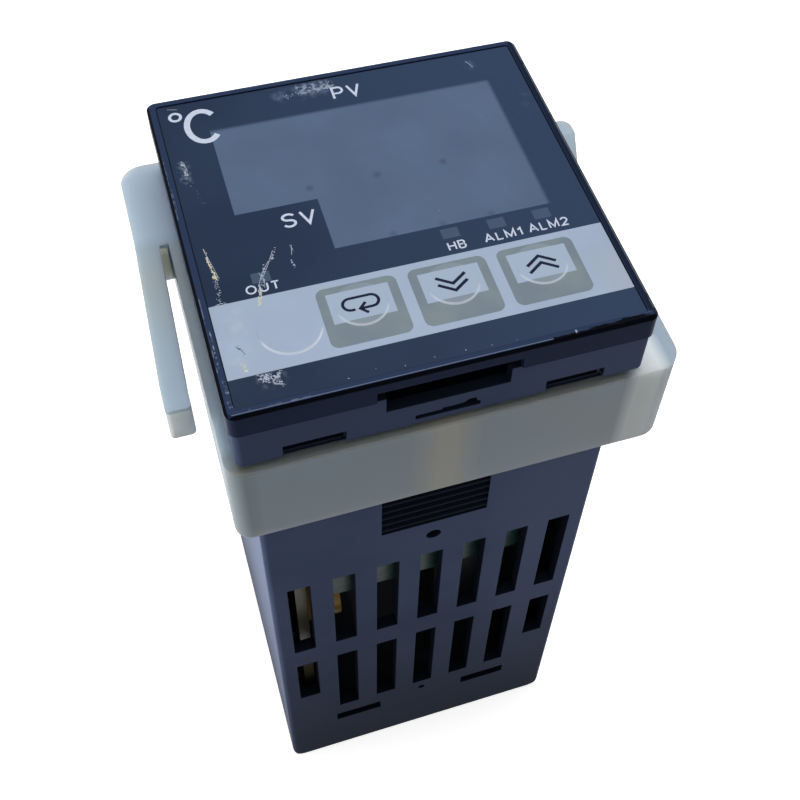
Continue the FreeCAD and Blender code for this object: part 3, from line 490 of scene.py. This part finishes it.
def pressedFilm(node, name, material, body, grow=0.0):  # the node's copy, its disc tilted, grown in mm
    mesh, work = weldedCopy(node)
    low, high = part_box(node)
    middle = ((low + high) / 2).xy
    hair, skirt = 0.02 * mm, 0.35 * mm  # heights closer than this are level, and the disc's sloping foot
    raised = [v for v in work.verts if v.co.z > sheetTop + hair]
    old = sum((v.co.xy for v in raised), Vector((0, 0))) / len(raised)
    rim = max((v.co.xy - old).length for v in raised)
    x, y, radius = discOf(node)
    new, size = Vector((x, y)) * mm, (radius - discLine["in"]) * mm / rim
    for v in work.verts:
        flat = v.co.xy - old
        if v.co.z > sheetTop - hair and flat.length < rim + skirt:
            v.co.xy = new + flat * size
            if v.co.z > sheetTop + hair:
                v.co.z = discHeight(node, v.co.y)
        elif grow and v.co.z > sheetTop - hair:
            flat = v.co.xy - middle
            v.co.xy = middle + flat * (1 + grow * mm / max(abs(flat.x), abs(flat.y)))
    work.to_mesh(mesh)
    work.free()
    piece = addMesh(name, mesh, material)
    mesh.shade_flat()
    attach(piece, body)
    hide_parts(node)


def dressFront():
    grow = 0.054  # the key films reach this far past the keys, in mm
    pressedFilm("front_sheet", "printedFrontFilm", printedPolycarbonateFilm(), "mechanism")
    for node in keyNames:
        name = node.replace("_key", "") + "KeyFilm"
        pressedFilm(node, name, embossedKeyFilm(name, *keyCentre(node)), node, grow)
    dressNode("display_filter", plainPlastic("smokedAcrylic", "#3E4A5E", "#465268", 0.2))
    dressNode("indicator_lamps", plainPlastic("diffusedResin", "#A9AEB4", "#B4B9BE", 0.3))
    print("front dressed")


# Print on the front

legends = {  # generic function legends: text, x0, x1, y0, y1, stroke in mm
    "legendPv": ("PV", -1.5, 2.2, 18.8, 21, 0.3), "legendSv": ("SV", -12.4, -8.4, -0.45, 1.75, 0.31),
    "legendOut": ("OUT", -18.5, -14.7, -8.75, -7.5, 0.2), "legendHb": ("HB", 4.65, 6.8, -8.7, -7.4, 0.2),
    "legendAlarmOne": ("ALM1", 9, 13.6, -8.65, -7.4, 0.2),
    "legendAlarmTwo": ("ALM2", 14.4, 19.3, -8.6, -7.3, 0.2),
    "legendDegreeC": ("C", -20.2, -15.75, 15.35, 21.4, 0.74),
}
inkLift = 0.012  # print stands this far proud, in mm


def arc(x, y, radius, start, end, steps, tall=None):  # points along a round or oval, angles in degrees
    turn = [math.radians(start + (end - start) * i / steps) for i in range(steps + 1)]
    return [(x + radius * math.cos(a), y + (tall or radius) * math.sin(a)) for a in turn]


def ringPoints(x, y, radius, tall=None):  # a whole turn, its last point one step short of the first
    steps = 23
    return arc(x, y, radius, 0, 360 * steps / (steps + 1), steps, tall)


letters = {  # plain signwriter's capitals: width, then strokes, in cap heights
    "P": (0.64, [[(0, 0), (0, 1)] + arc(0.36, 0.73, 0.28, 90, -90, 10) + [(0.06, 0.46)]]),
    "V": (0.74, [[(0, 1), (0.37, 0), (0.74, 1)]]),
    "S": (0.62, [arc(0.31, 0.755, 0.31, 22, 270, 16, 0.245) +
                 arc(0.31, 0.255, 0.31, 80, -158, 16, 0.255)]),
    "O": (0.8, [ringPoints(0.4, 0.5, 0.4, 0.5)]),
    "U": (0.68, [[(0, 1)] + arc(0.34, 0.34, 0.34, 180, 360, 12) + [(0.68, 1)]]),
    "T": (0.64, [[(0, 1), (0.64, 1)], [(0.32, 0.94), (0.32, 0)]]),
    "H": (0.68, [[(0, 0), (0, 1)], [(0.68, 0), (0.68, 1)], [(0.06, 0.52), (0.62, 0.52)]]),
    "B": (0.62, [[(0, 0), (0, 1)] + arc(0.36, 0.765, 0.235, 90, -90, 10) + [(0.06, 0.53)],
                 [(0.4, 0.53)] + arc(0.36, 0.265, 0.265, 70, -90, 10) + [(0.06, 0)]]),
    "A": (0.76, [[(0, 0), (0.38, 1), (0.76, 0)], [(0.18, 0.32), (0.58, 0.32)]]),
    "L": (0.5, [[(0, 1), (0, 0), (0.5, 0)]]),
    "M": (0.82, [[(0, 0), (0, 1), (0.41, 0.1), (0.82, 1), (0.82, 0)]]),
    "1": (0.28, [[(0, 0.76), (0.28, 1), (0.28, 0)]]),
    "2": (0.58, [arc(0.29, 0.71, 0.29, 165, -38, 12) + [(0, 0), (0.58, 0)]]),
    "C": (0.8, [arc(0.41, 0.5, 0.41, 42, 318, 26, 0.5)]),
}


def layOutWord(text, x0, x1, y0, y1, width, gap=0.36):  # the word's strokes, fitted to its box on the face
    span = sum(letters[c][0] for c in text) + gap * (len(text) - 1)
    wide = (x1 - x0 - width) / span
    high = y1 - y0 - width
    strokes, at = [], 0
    for c in text:
        for line in letters[c][1]:
            points = [(x0 + width / 2 + (at + x) * wide, y0 + width / 2 + y * high) for x, y in line]
            strokes.append((points, c == "O"))
        at += letters[c][0] + gap
    return strokes


def ribbon(work, points, width, close):  # a flat stroke with mitred corners
    count = len(points)
    sides = []
    for i, p in enumerate(points):
        before = points[i - 1] if i or close else None
        after = points[(i + 1) % count] if i < count - 1 or close else None
        normals = []
        for a, b in ((before, p), (p, after)):
            if a and b:
                d = (Vector(b) - Vector(a)).normalized()
                normals.append(Vector((-d.y, d.x)))
        mean = sum(normals, Vector((0, 0))).normalized()
        reach = width / 2 / max(mean.dot(normals[0]), 0.3)  # a sharp corner's mitre stops there
        sides.append([work.verts.new(((p[0] + s * mean.x * reach) * mm, (p[1] + s * mean.y * reach) * mm, 0))
                      for s in (1, -1)])
    for i in range(count if close else count - 1):
        a, b = sides[i], sides[(i + 1) % count]
        work.faces.new((a[0], a[1], b[1], b[0]))


def strokePiece(name, strokes, width, height, material, body):  # lists of points in mm, height of a y
    work = bmesh.new()
    for points, close in strokes:
        ribbon(work, points, width, close)
    for v in work.verts:
        v.co.z = height(v.co.y)
    bmesh.ops.recalc_face_normals(work, faces=work.faces)
    solid = bmesh.ops.extrude_face_region(work, geom=work.faces[:])
    raised = [v for v in solid["geom"] if isinstance(v, bmesh.types.BMVert)]
    bmesh.ops.translate(work, verts=raised, vec=(0, 0, inkLift * mm))
    bmesh.ops.recalc_face_normals(work, faces=work.faces)
    piece = addMesh(name, meshFrom(work, name), material)
    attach(piece, body)


def onSheet(y):
    return sheetTop


def makePrint():
    white = screenInk("whiteScreenInk", "#CBD4E8", "#BBC6DC")
    dark = screenInk("darkScreenInk", "#141D33", "#1B2540")
    for name, (text, *box) in legends.items():
        strokePiece(name, layOutWord(text, *box), box[-1], onSheet, white, "mechanism")
    ring = {"place": (-20.9, 20.7, 0.66), "width": 0.36}
    circle = [(ringPoints(*ring["place"]), True)]
    strokePiece("legendDegreeRing", circle, ring["width"], onSheet, white, "mechanism")
    symbols = {"width": 0.38, "half": 1.72, "rise": 1.2, "step": 1.02, "topGap": 2.15}
    half, rise = symbols["half"], symbols["rise"] / 2
    for node, sign in (("down_key", -1), ("up_key", 1)):
        x, y = keyCentre(node)
        strokes = []
        for i in (0, 1):
            middle = y + symbols["topGap"] - rise - i * symbols["step"]
            end = middle - sign * rise
            strokes.append(([(x - half, end), (x, middle + sign * rise), (x + half, end)], False))
        strokePiece(node.replace("_key", "") + "KeySymbol", strokes, symbols["width"],
                    lambda y, key=node: discHeight(key, y), dark, node)
    loop = {"left": -2.05, "right": 1.95, "top": 2.0, "low": 0.35, "tip": -0.3, "lap": 0.2, "gap": -0.85,
            "head": 0.75, "width": 0.34}  # an arrow that goes round and back, from the key's middle
    x, y = keyCentre("mode_key")
    radius = (loop["top"] - loop["low"]) / 2
    middle, low, tip = y + (loop["top"] + loop["low"]) / 2, y + loop["low"], x + loop["tip"]
    left = arc(x + loop["left"] + radius, middle, radius, 270, 90, 10)
    right = arc(x + loop["right"] - radius, middle, radius, 90, -90, 10)
    path = [(x + loop["gap"], low)] + left + right + [(tip + loop["lap"], low)]
    head = [(tip + loop["head"], low + loop["head"]), (tip, low), (tip + loop["head"], low - loop["head"])]
    strokePiece("modeKeySymbol", [(path, False), (head, False)], loop["width"],
                lambda y: discHeight("mode_key", y), dark, "mode_key")
    print("print done")


# Wear

def openTree(name, inputs, result):  # a Geometry Nodes tree and what it is given
    tree = bpy.data.node_groups.new(name, "GeometryNodeTree")
    for socket, kind in inputs.items():
        tree.interface.new_socket(socket, in_out="INPUT", socket_type="NodeSocket" + kind)
    tree.interface.new_socket(result, in_out="OUTPUT", socket_type="NodeSocketGeometry")
    return tree, tree.nodes.new("NodeGroupInput").outputs


def closeTree(tree, laid, finish):  # copies made real, with their material
    real = addNode(tree, "GeometryNodeRealizeInstances", {0: laid})
    coated = addNode(tree, "GeometryNodeSetMaterial", {"Geometry": real, "Material": finish})
    tree.links.new(coated, tree.nodes.new("NodeGroupOutput").inputs[0])
    return tree


def flakeTree():  # chips of dried paint and dust, scattered round a path
    inputs = {"Path": "Geometry", "Count": "Int", "Spread": "Float", "Smallest": "Float", "Largest": "Float",
              "Thickness": "Float", "Seed": "Int", "Finish": "Material"}
    tree, given = openTree("flakeTrail", inputs, "Chips")
    curve = addNode(tree, "GeometryNodeMeshToCurve", {0: given["Path"]})
    curve = addNode(tree, "GeometryNodeResampleCurve", {"Curve": curve, "Count": given["Count"]})
    points = addNode(tree, "GeometryNodeCurveToPoints", {"Curve": curve, "Count": given["Count"]})
    apart = addNode(tree, "ShaderNodeCombineXYZ", {0: given["Spread"], 1: given["Spread"]})
    back = addNode(tree, vectorNode, {0: apart, 1: (-1, -1, 0)}, operation="MULTIPLY")
    draw, seed = "FunctionNodeRandomValue", given["Seed"]
    stray = addNode(tree, draw, {0: back, 1: apart, "Seed": seed}, data_type="FLOAT_VECTOR")
    moved = addNode(tree, "GeometryNodeSetPosition", {"Geometry": points, "Offset": stray})
    chip = addNode(tree, "GeometryNodeMeshIcoSphere", {"Radius": 1.0, "Subdivisions": 1})
    second = addNode(tree, mathNode, {0: seed, 1: 17}, operation="ADD")  # a draw of its own
    size = addNode(tree, draw, {2: given["Smallest"], 3: given["Largest"], "Seed": second})
    narrow = addNode(tree, mathNode, {0: size, 1: 0.55}, operation="MULTIPLY")  # longer than wide
    scale = addNode(tree, "ShaderNodeCombineXYZ", {0: size, 1: narrow, 2: given["Thickness"]})
    turn = addNode(tree, draw, {2: 0.0, 3: math.tau, "Seed": seed})
    turn = addNode(tree, "ShaderNodeCombineXYZ", {2: turn})
    copies = {"Points": moved, "Instance": chip, "Rotation": turn, "Scale": scale}
    laid = addNode(tree, "GeometryNodeInstanceOnPoints", copies)
    return closeTree(tree, laid, given["Finish"])


def runTree(name, tree, mesh, values):  # a tree's result on a mesh, as a plain piece
    piece = addObject(name, mesh)
    step = piece.modifiers.new("maker", "NODES")
    step.node_group = tree
    for item in tree.interface.items_tree:
        if item.in_out == "INPUT" and item.name in values:
            step[item.identifier] = values[item.name]
    return bakeModifiers(piece)


trails = {  # path in mm, count, spread, smallest and largest in mm, finish, seed
    "flakesLeftTop": ([(-21.75, -1), (-21.55, -1.9)], 9, 0.1, 0.05, 0.13, "cream", 2),
    "flakesLeftEdge": ([(-21.6, -2.2), (-21.45, -3.6), (-21.3, -5.4)], 44, 0.13, 0.05, 0.2, "cream", 3),
    "flakesLeftFoot": ([(-21.35, -5), (-21.15, -5.5)], 12, 0.2, 0.08, 0.2, "cream", 4),
    "flakesBandEdge": ([(-21.35, -5.6), (-21.4, -7.4), (-21.5, -9.2)], 46, 0.3, 0.03, 0.13, "pale", 5),
    "flakesFoot": ([(-22.2, -9.4), (-20.8, -9.1)], 16, 0.16, 0.04, 0.14, "pale", 8),
    "flakesUpperLeft": ([(-21.6, 12.9), (-21.4, 12.3)], 16, 0.2, 0.05, 0.18, "pale", 11),
    "flakesUpperLow": ([(-21.4, 11.6), (-21.3, 10.6)], 26, 0.2, 0.05, 0.17, "pale", 13),
    "flakesUnderUpper": ([(-21.2, 10.2), (-20.9, 8.2), (-20.3, 5.6)], 16, 0.25, 0.03, 0.08, "pale", 12),
    "flakesScratchTop": ([(-14, -3), (-14.5, -3.9), (-14.9, -4.6)], 14, 0.14, 0.06, 0.18, "pale", 14),
    "flakesScratch": ([(-15.6, -5), (-16.2, -6.4), (-16.7, -7.9), (-17.1, -9)],
                      60, 0.22, 0.03, 0.15, "pale", 19),
    "flakesScratchEnd": ([(-17, -8.6), (-17.25, -9.6), (-17.45, -10.5)], 34, 0.15, 0.06, 0.17, "cream", 23),
    "flakesBesideOne": ([(-12.3, -3), (-12.3, -3.8)], 7, 0.1, 0.04, 0.12, "pale", 27),
    "flakesBesideTwo": ([(-12.6, -5.2), (-12.6, -6.2)], 12, 0.14, 0.05, 0.16, "pale", 29),
    "flakesStain": ([(-20.95, -17.4), (-20.8, -18), (-20.6, -18.5)], 14, 0.16, 0.06, 0.2, "cream", 31),
    "flakesScuff": ([(-19.6, -19.6), (-18.6, -20.3), (-17.7, -20.9)], 80, 0.34, 0.03, 0.17, "pale", 37),
    "flakesScuffTop": ([(-19.3, -19.6), (-18.2, -19.7)], 24, 0.22, 0.06, 0.2, "pale", 39),
    "flakesScuffSide": ([(-18.2, -20.4), (-17.3, -19.5)], 40, 0.2, 0.04, 0.16, "pale", 41),
    "flakesScuffFoot": ([(-17.9, -20.8), (-17.4, -21.4)], 16, 0.2, 0.03, 0.12, "pale", 42),
    "flakesSmudge": ([(-7.6, 20.6), (-4.5, 21.2), (-1.9, 21.6)], 60, 0.5, 0.03, 0.12, "pale", 45),
    "flakesSmudgeEnd": ([(-2.2, 21.2), (-1.2, 21.2)], 20, 0.3, 0.05, 0.16, "pale", 46),
    "specksDark": ([(-21, -15.1), (-20.7, -15.6), (-20.5, -16.2)], 10, 0.12, 0.05, 0.15, "soot", 43),
    "specksAlongFoot": ([(-10.8, -22.1), (8, -22.4)], 7, 0.3, 0.05, 0.12, "pale", 47),
    "specksSheet": ([(-13, 8), (0, -7.5), (20, 12)], 12, 2.6, 0.03, 0.06, "pale", 53),
}


def makeWear():
    chips = {"cream": screenInk("driedPaintFlakes", "#D6D3BE", "#B9B59C"),  # brittle and matt, yellowed
             "pale": screenInk("paleScuffDust", "#B4BDCC", "#8E9AB0"),  # grey-white crumbs of rubbed film
             "soot": screenInk("sootSpecks", "#20242C", "#2C323C")}
    thickness = 0.02 * mm
    tree = flakeTree()
    for name, (path, count, spread, small, large, finish, seed) in trails.items():
        mesh = bpy.data.meshes.new(name)
        links = [(i, i + 1) for i in range(len(path) - 1)]
        mesh.from_pydata([(x * mm, y * mm, sheetTop) for x, y in path], links, [])
        values = {"Count": count, "Spread": spread * mm, "Smallest": small * mm, "Largest": large * mm,
                  "Thickness": thickness, "Seed": seed, "Finish": chips[finish]}
        piece = runTree(name, tree, mesh, values)
        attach(piece, "mechanism")
    scratches = {"width": 0.06, "lines": [
        [(-14.4, -3.2), (-15.4, -5.2), (-16.2, -6.6)],
        [(-15.2, -4.6), (-16.3, -6.2), (-16.9, -7.6), (-17.2, -9)],
        [(-16.6, -6), (-16.2, -7.2), (-16.4, -8.2)], [(-21.7, -1.4), (-21.3, -3.4), (-20.9, -5.6)],
        [(-12.2, -3), (-12.5, -4.4)], [(-21.6, 22.3), (-20.4, 22)], [(-3.2, 20.6), (-1.9, 21.9)],
        [(-1.9, 21.4), (-1.3, 22.2)], [(16.6, 21.4), (17.2, 20.1)]]}
    strokePiece("filmScratches", [(line, False) for line in scratches["lines"]], scratches["width"], onSheet,
                chips["pale"], "mechanism")
    print("wear done")


# Hardware

screw = {  # cross-recess pan head, in mm
    "head": 2.6, "high": 2.0, "round": 0.5, "crown": 0.12, "brim": 0.35, "shank": 1.48, "length": 6.2,
    "steps": 28, "join": 0.005, "arm": 1.35, "slot": 0.42, "recess": ((1.15, -0.3), (0.45, 1.3)),
    "perSide": 6, "crease": 32,
}


def screwPlaces():  # middles of the terminal screws, at the seat of their heads
    low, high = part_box("terminal_screws")
    head, count = screw["head"] * mm, screw["perSide"]
    ys = [low.y + head + (high.y - low.y - 2 * head) * i / (count - 1) for i in range(count)]
    return [(x, y) for x in (low.x + head, high.x - head) for y in ys]


def screwMesh():  # its head towards the rear end, and its shank
    head, high, bend, crown, shank = (screw[k] for k in ("head", "high", "round", "crown", "shank"))
    end = high + screw["length"]
    outline = [(0, 0), (head - bend * 1.6, 0), (head - bend, crown), (head - crown, bend),
               (head, bend + screw["brim"]), (head, high), (shank, high), (shank, end), (0, end)]
    work = bmesh.new()
    verts = [work.verts.new((r * mm, 0, z * mm)) for r, z in outline]
    edges = [work.edges.new(pair) for pair in zip(verts, verts[1:])]
    bmesh.ops.spin(work, geom=verts + edges, cent=(0, 0, 0), axis=(0, 0, 1), angle=math.tau,
                   steps=screw["steps"])
    bmesh.ops.remove_doubles(work, verts=work.verts, dist=screw["join"] * mm)
    bmesh.ops.recalc_face_normals(work, faces=work.faces)
    piece = addObject("screw", meshFrom(work, "screw"))
    a, s = screw["arm"], screw["slot"]
    cross = [(a, s), (s, s), (s, a), (-s, a), (-s, s), (-a, s)]
    cross += [(-x, -y) for x, y in cross]
    blade = lowSolid("recess", [[(x * k, y * k, z) for x, y in cross] for k, z in screw["recess"]])
    bite = piece.modifiers.new("recess", "BOOLEAN")
    bite.object = blade
    bite.solver = "EXACT"
    bakeModifiers(piece)
    bpy.data.objects.remove(blade)
    return piece


def placingTree():  # one shape at every point
    tree, given = openTree("placeAtPoints", {"Points": "Geometry", "Shape": "Object", "Finish": "Material"},
                           "Placed")
    shape = addNode(tree, "GeometryNodeObjectInfo", {"Object": given["Shape"]}).node.outputs["Geometry"]
    spots = addNode(tree, "GeometryNodeMeshToPoints", {0: given["Points"]})
    laid = addNode(tree, "GeometryNodeInstanceOnPoints", {"Points": spots, "Instance": shape})
    return closeTree(tree, laid, given["Finish"])


def placeShape(name, tree, shape, points, finish):  # copies of a shape at the points, as one piece
    mesh = bpy.data.meshes.new(name)
    mesh.from_pydata(points, [], [])
    return runTree(name, tree, mesh, {"Shape": shape, "Finish": finish})


def makeScrews(tree):
    steel = brushedMetal("zincPlatedSteel", "#B7BABD", "#9A9DA2", 0.3)
    shape = screwMesh()
    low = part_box("terminal_screws")[0].z
    screws = placeShape("crossRecessScrews", tree, shape, [(x, y, low) for x, y in screwPlaces()], steel)
    bpy.data.objects.remove(shape)
    screws.data.shade_smooth()
    screws.data.set_sharp_from_angle(angle=math.radians(screw["crease"]))
    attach(screws, "case")
    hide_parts("terminal_screws")
    print("screws done")


def lowSolid(name, rings):  # a small closed shape from rings of points, bottom first
    work = bmesh.new()
    made = [[work.verts.new(tuple(c * mm for c in p)) for p in ring] for ring in rings]
    work.faces.new(list(reversed(made[0])))
    work.faces.new(made[-1])
    for low, high in zip(made, made[1:]):
        for i in range(len(low)):
            j = (i + 1) % len(low)
            work.faces.new((low[i], low[j], high[j], high[i]))
    bmesh.ops.recalc_face_normals(work, faces=work.faces)
    return addObject(name, meshFrom(work, name))


boards = ["control_board", "power_board"]
pinRows = {  # soldered pins of the parts on the boards: rows across and up
    "transformer_bobbin": (4, 2), "output_relay": (2, 3), "alarm_relays": (3, 4), "filter_capacitors": (4, 1),
    "choke_coil": (1, 2),
}
loose = {  # joints and chips scattered over a board's grid, in mm
    "joints": 26, "chips": 30, "seed": 61, "grid": 2.54, "halfRows": 5, "low": 24, "high": 92, "clear": 2,
}
fitting = {  # rings of a solder joint as height and radius, of a chip as height and scale, in mm
    "joint": ((0, 0.75), (0.2, 0.45), (0.6, 0.22)), "jointSides": 8,
    "chip": ((0, 1), (0.425, 1), (0.5, 0.9)), "chipHalf": (0.62, 1.0), "pinMargin": 1.2,
}


def pinsBehind(outer):  # where the pins of the parts come through each board, as y and z in mm
    pins = {node: [] for node in boards}
    margin = fitting["pinMargin"]
    for part, (across, up) in pinRows.items():
        low, high = (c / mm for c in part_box(part))
        board = min(boards, key=lambda b: abs(outer[b] - (low.x + high.x) / 2))
        for i in range(across):
            for k in range(up):
                y = low.y + (high.y - low.y) * (i + 0.5) / across
                share = k / (up - 1) if up > 1 else 0.5
                pins[board].append((y, low.z + margin + (high.z - low.z - 2 * margin) * share))
    return pins


def makeBoardFittings(tree):  # solder joints and chip parts on the outer faces of the two side boards
    solder = brushedMetal("reflowedSolder", "#B9BCBF", "#A2A6AB", 0.28)
    ceramic = plainPlastic("firedCeramicChips", "#2B2520", "#3A332C", 0.4)
    outer = {node: max((end.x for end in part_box(node)), key=abs) / mm for node in boards}
    pins = pinsBehind(outer)
    spread = random.Random(loose["seed"])
    grid, half, foot = loose["grid"], loose["halfRows"], loose["low"]
    steps = range(int((loose["high"] - foot) / grid))
    turns = [math.tau * i / fitting["jointSides"] for i in range(fitting["jointSides"])]
    wide, long = fitting["chipHalf"]
    corners = [(-wide, -long), (wide, -long), (wide, long), (-wide, long)]
    for node in boards:
        side = math.copysign(1, outer[node])
        cells = [(y * grid, foot + z * grid) for y in range(-half, half + 1) for z in steps]
        cells = [c for c in cells if all(math.dist(c, p) > loose["clear"] for p in pins[node])]
        spread.shuffle(cells)
        count = loose["joints"]
        joints, chips = pins[node] + cells[:count], cells[count:count + loose["chips"]]
        joint = lowSolid("joint", [[(side * h, r * math.cos(a), r * math.sin(a)) for a in turns]
                                   for h, r in fitting["joint"]])
        chip = lowSolid("chip", [[(side * h, k * y, k * z) for y, z in corners]
                                 for h, k in fitting["chip"]])
        for name, shape, spots, finish in (("SolderJoints", joint, joints, solder),
                                           ("ChipParts", chip, chips, ceramic)):
            points = [(outer[node] * mm, y * mm, z * mm) for y, z in spots]
            piece = placeShape(node.replace("_board", "") + name, tree, shape, points, finish)
            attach(piece, "mechanism")
            bpy.data.objects.remove(shape)
    print("board fittings done")


# Inside

def dressInside():
    sides = glassEpoxyBoard("sawnGlassEpoxySides", "X", pads=True)
    cards = {"control_board": sides, "power_board": sides,
             "display_board": glassEpoxyBoard("sawnGlassEpoxyFront", "Z"),
             "option_board": glassEpoxyBoard("sawnGlassEpoxyFoot", "Y")}
    for node, material in cards.items():
        dressNode(node, material)
    plain = {
        "pv_display": ("displayMoulding", "#3A3F48", "#454A54", 0.5),
        "sv_display": ("displayMouldingLow", "#3A3F48", "#454A54", 0.5),
        "key_switches": ("switchNylon", "#24262A", "#2D2F34", 0.5),
        "board_headers": ("headerPbt", "#1A1B1E", "#232428", 0.5),
        "transformer_core": ("sinteredFerrite", "#3A3A3C", "#46464A", 0.6),
        "transformer_bobbin": ("polyesterTape", "#D0A52E", "#C09422", 0.3),
        "output_relay": ("relayPbt", "#15171C", "#1B1E24", 0.35),
        "alarm_relays": ("relayPbtSmall", "#15171C", "#1B1E24", 0.35),
        "filter_capacitors": ("shrunkPvcSleeve", "#20242E", "#2A2F3B", 0.3),
        "choke_coil": ("enamelledCopper", "#B98A34", "#C99E48", 0.3),
        "processor": ("mouldedEpoxy", "#1C1D20", "#242529", 0.5),
    }
    for node, look in plain.items():
        dressNode(node, plainPlastic(*look))
    plunger = plainPlastic("plungerAcetal", "#1E1F22", "#27282C", 0.4)
    for node in ("mode_plunger", "down_plunger", "up_plunger"):
        dressNode(node, plunger)
    dressNode("terminal_contacts", brushedMetal("tinnedBrass", "#B9A878", "#A8945E", 0.32))
    print("inside dressed")


# Room

room = {"floorHalf": 3.0, "floorDrop": 0.02 * mm, "white": "#FFFFFF", "worldLight": 0.32,
        "worldColour": "#FFFDFA", "floorColour": "#8C8D8D", "floorGlow": 0.68}


def paleTree(owner, tint):  # an emptied tree, a mask of what is seen directly, and white there, else the tint
    owner.use_nodes = True
    tree = owner.node_tree
    tree.nodes.clear()
    rays = addNode(tree, "ShaderNodeLightPath").node.outputs
    seen = rays["Is Camera Ray"]
    for ray in ("Is Glossy Ray", "Is Transmission Ray"):
        seen = addNode(tree, mathNode, {0: seen, 1: rays[ray]}, operation="MAXIMUM")
    return tree, seen, paintOver(tree, tint, room["white"], seen)


def makeRoom():
    world = bpy.data.worlds.new("paleRoom")
    bpy.context.scene.world = world
    tree, seen, colour = paleTree(world, room["worldColour"])
    strength = addNode(tree, rangeNode, {"Value": seen, "To Min": room["worldLight"]})
    glow = addNode(tree, "ShaderNodeBackground", {"Color": colour, "Strength": strength})
    addNode(tree, "ShaderNodeOutputWorld", {"Surface": glow})
    material = bpy.data.materials.new("palePaperFloor")
    tree, seen, colour = paleTree(material, room["floorColour"])
    paper = addNode(tree, "ShaderNodeBsdfDiffuse", {"Color": colour})
    lift = addNode(tree, mathNode, {0: seen, 1: room["floorGlow"]}, operation="MULTIPLY")
    glow = addNode(tree, "ShaderNodeEmission", {"Color": (1, 1, 1, 1), "Strength": lift})
    both = addNode(tree, "ShaderNodeAddShader", {0: paper, 1: glow})
    addNode(tree, "ShaderNodeOutputMaterial", {"Surface": both})
    half = room["floorHalf"]
    mesh = bpy.data.meshes.new("floor")
    corners = [(-half, -half, 0), (half, -half, 0), (half, half, 0), (-half, half, 0)]
    mesh.from_pydata(corners, [], [(0, 1, 2, 3)])
    floor = addMesh("floor", mesh, material)
    floor.location.z = -room["floorDrop"]


def makeLights():
    lamps = {"softboxAbove": ((0.05, 0.22, 1.0), (0, 0, face * 0.6), 0.7, 7.0),
             "windowLeft": ((-0.8, 0.05, 0.07), (0, 0.02, 0.07), 0.15, 3.0)}  # place, aim, size in m, watts
    for name, (place, aim, size, power) in lamps.items():
        data = bpy.data.lights.new(name, "AREA")
        data.shape = "SQUARE"
        data.size = size
        data.energy = power
        lamp = addObject(name, data)
        lamp.location = place
        lamp.rotation_euler = (Vector(aim) - Vector(place)).to_track_quat("-Z", "Y").to_euler()
    bpy.context.scene.view_settings.view_transform = "Standard"
    print("lights done")


def makeCamera():
    view = {"place": (-28.01, -92.22, 213.54), "aim": (8.727, 0.0, 84.858), "roll": 4.534, "lens": 54.76,
            "shift": (-0.0618, -0.102), "sensor": 36, "near": 0.01, "far": 20}
    data = bpy.data.cameras.new("viewCamera")
    data.sensor_width = view["sensor"]
    data.lens = view["lens"]
    data.shift_x, data.shift_y = view["shift"]
    data.clip_start, data.clip_end = view["near"], view["far"]
    camera = addObject("viewCamera", data)
    place = Vector(view["place"]) * mm
    turn = (Vector(view["aim"]) * mm - place).to_track_quat("-Z", "Y").to_matrix().to_4x4()
    roll = Matrix.Rotation(math.radians(view["roll"]), 4, "Z")
    camera.matrix_world = Matrix.Translation(place) @ turn @ roll
    bpy.context.scene.camera = camera
    print("camera done")


makeCamera()
makeRoom()
makeLights()
makeHousing()
dressFront()
makePrint()
makeWear()
dressInside()
placing = placingTree()
makeScrews(placing)
makeBoardFittings(placing)
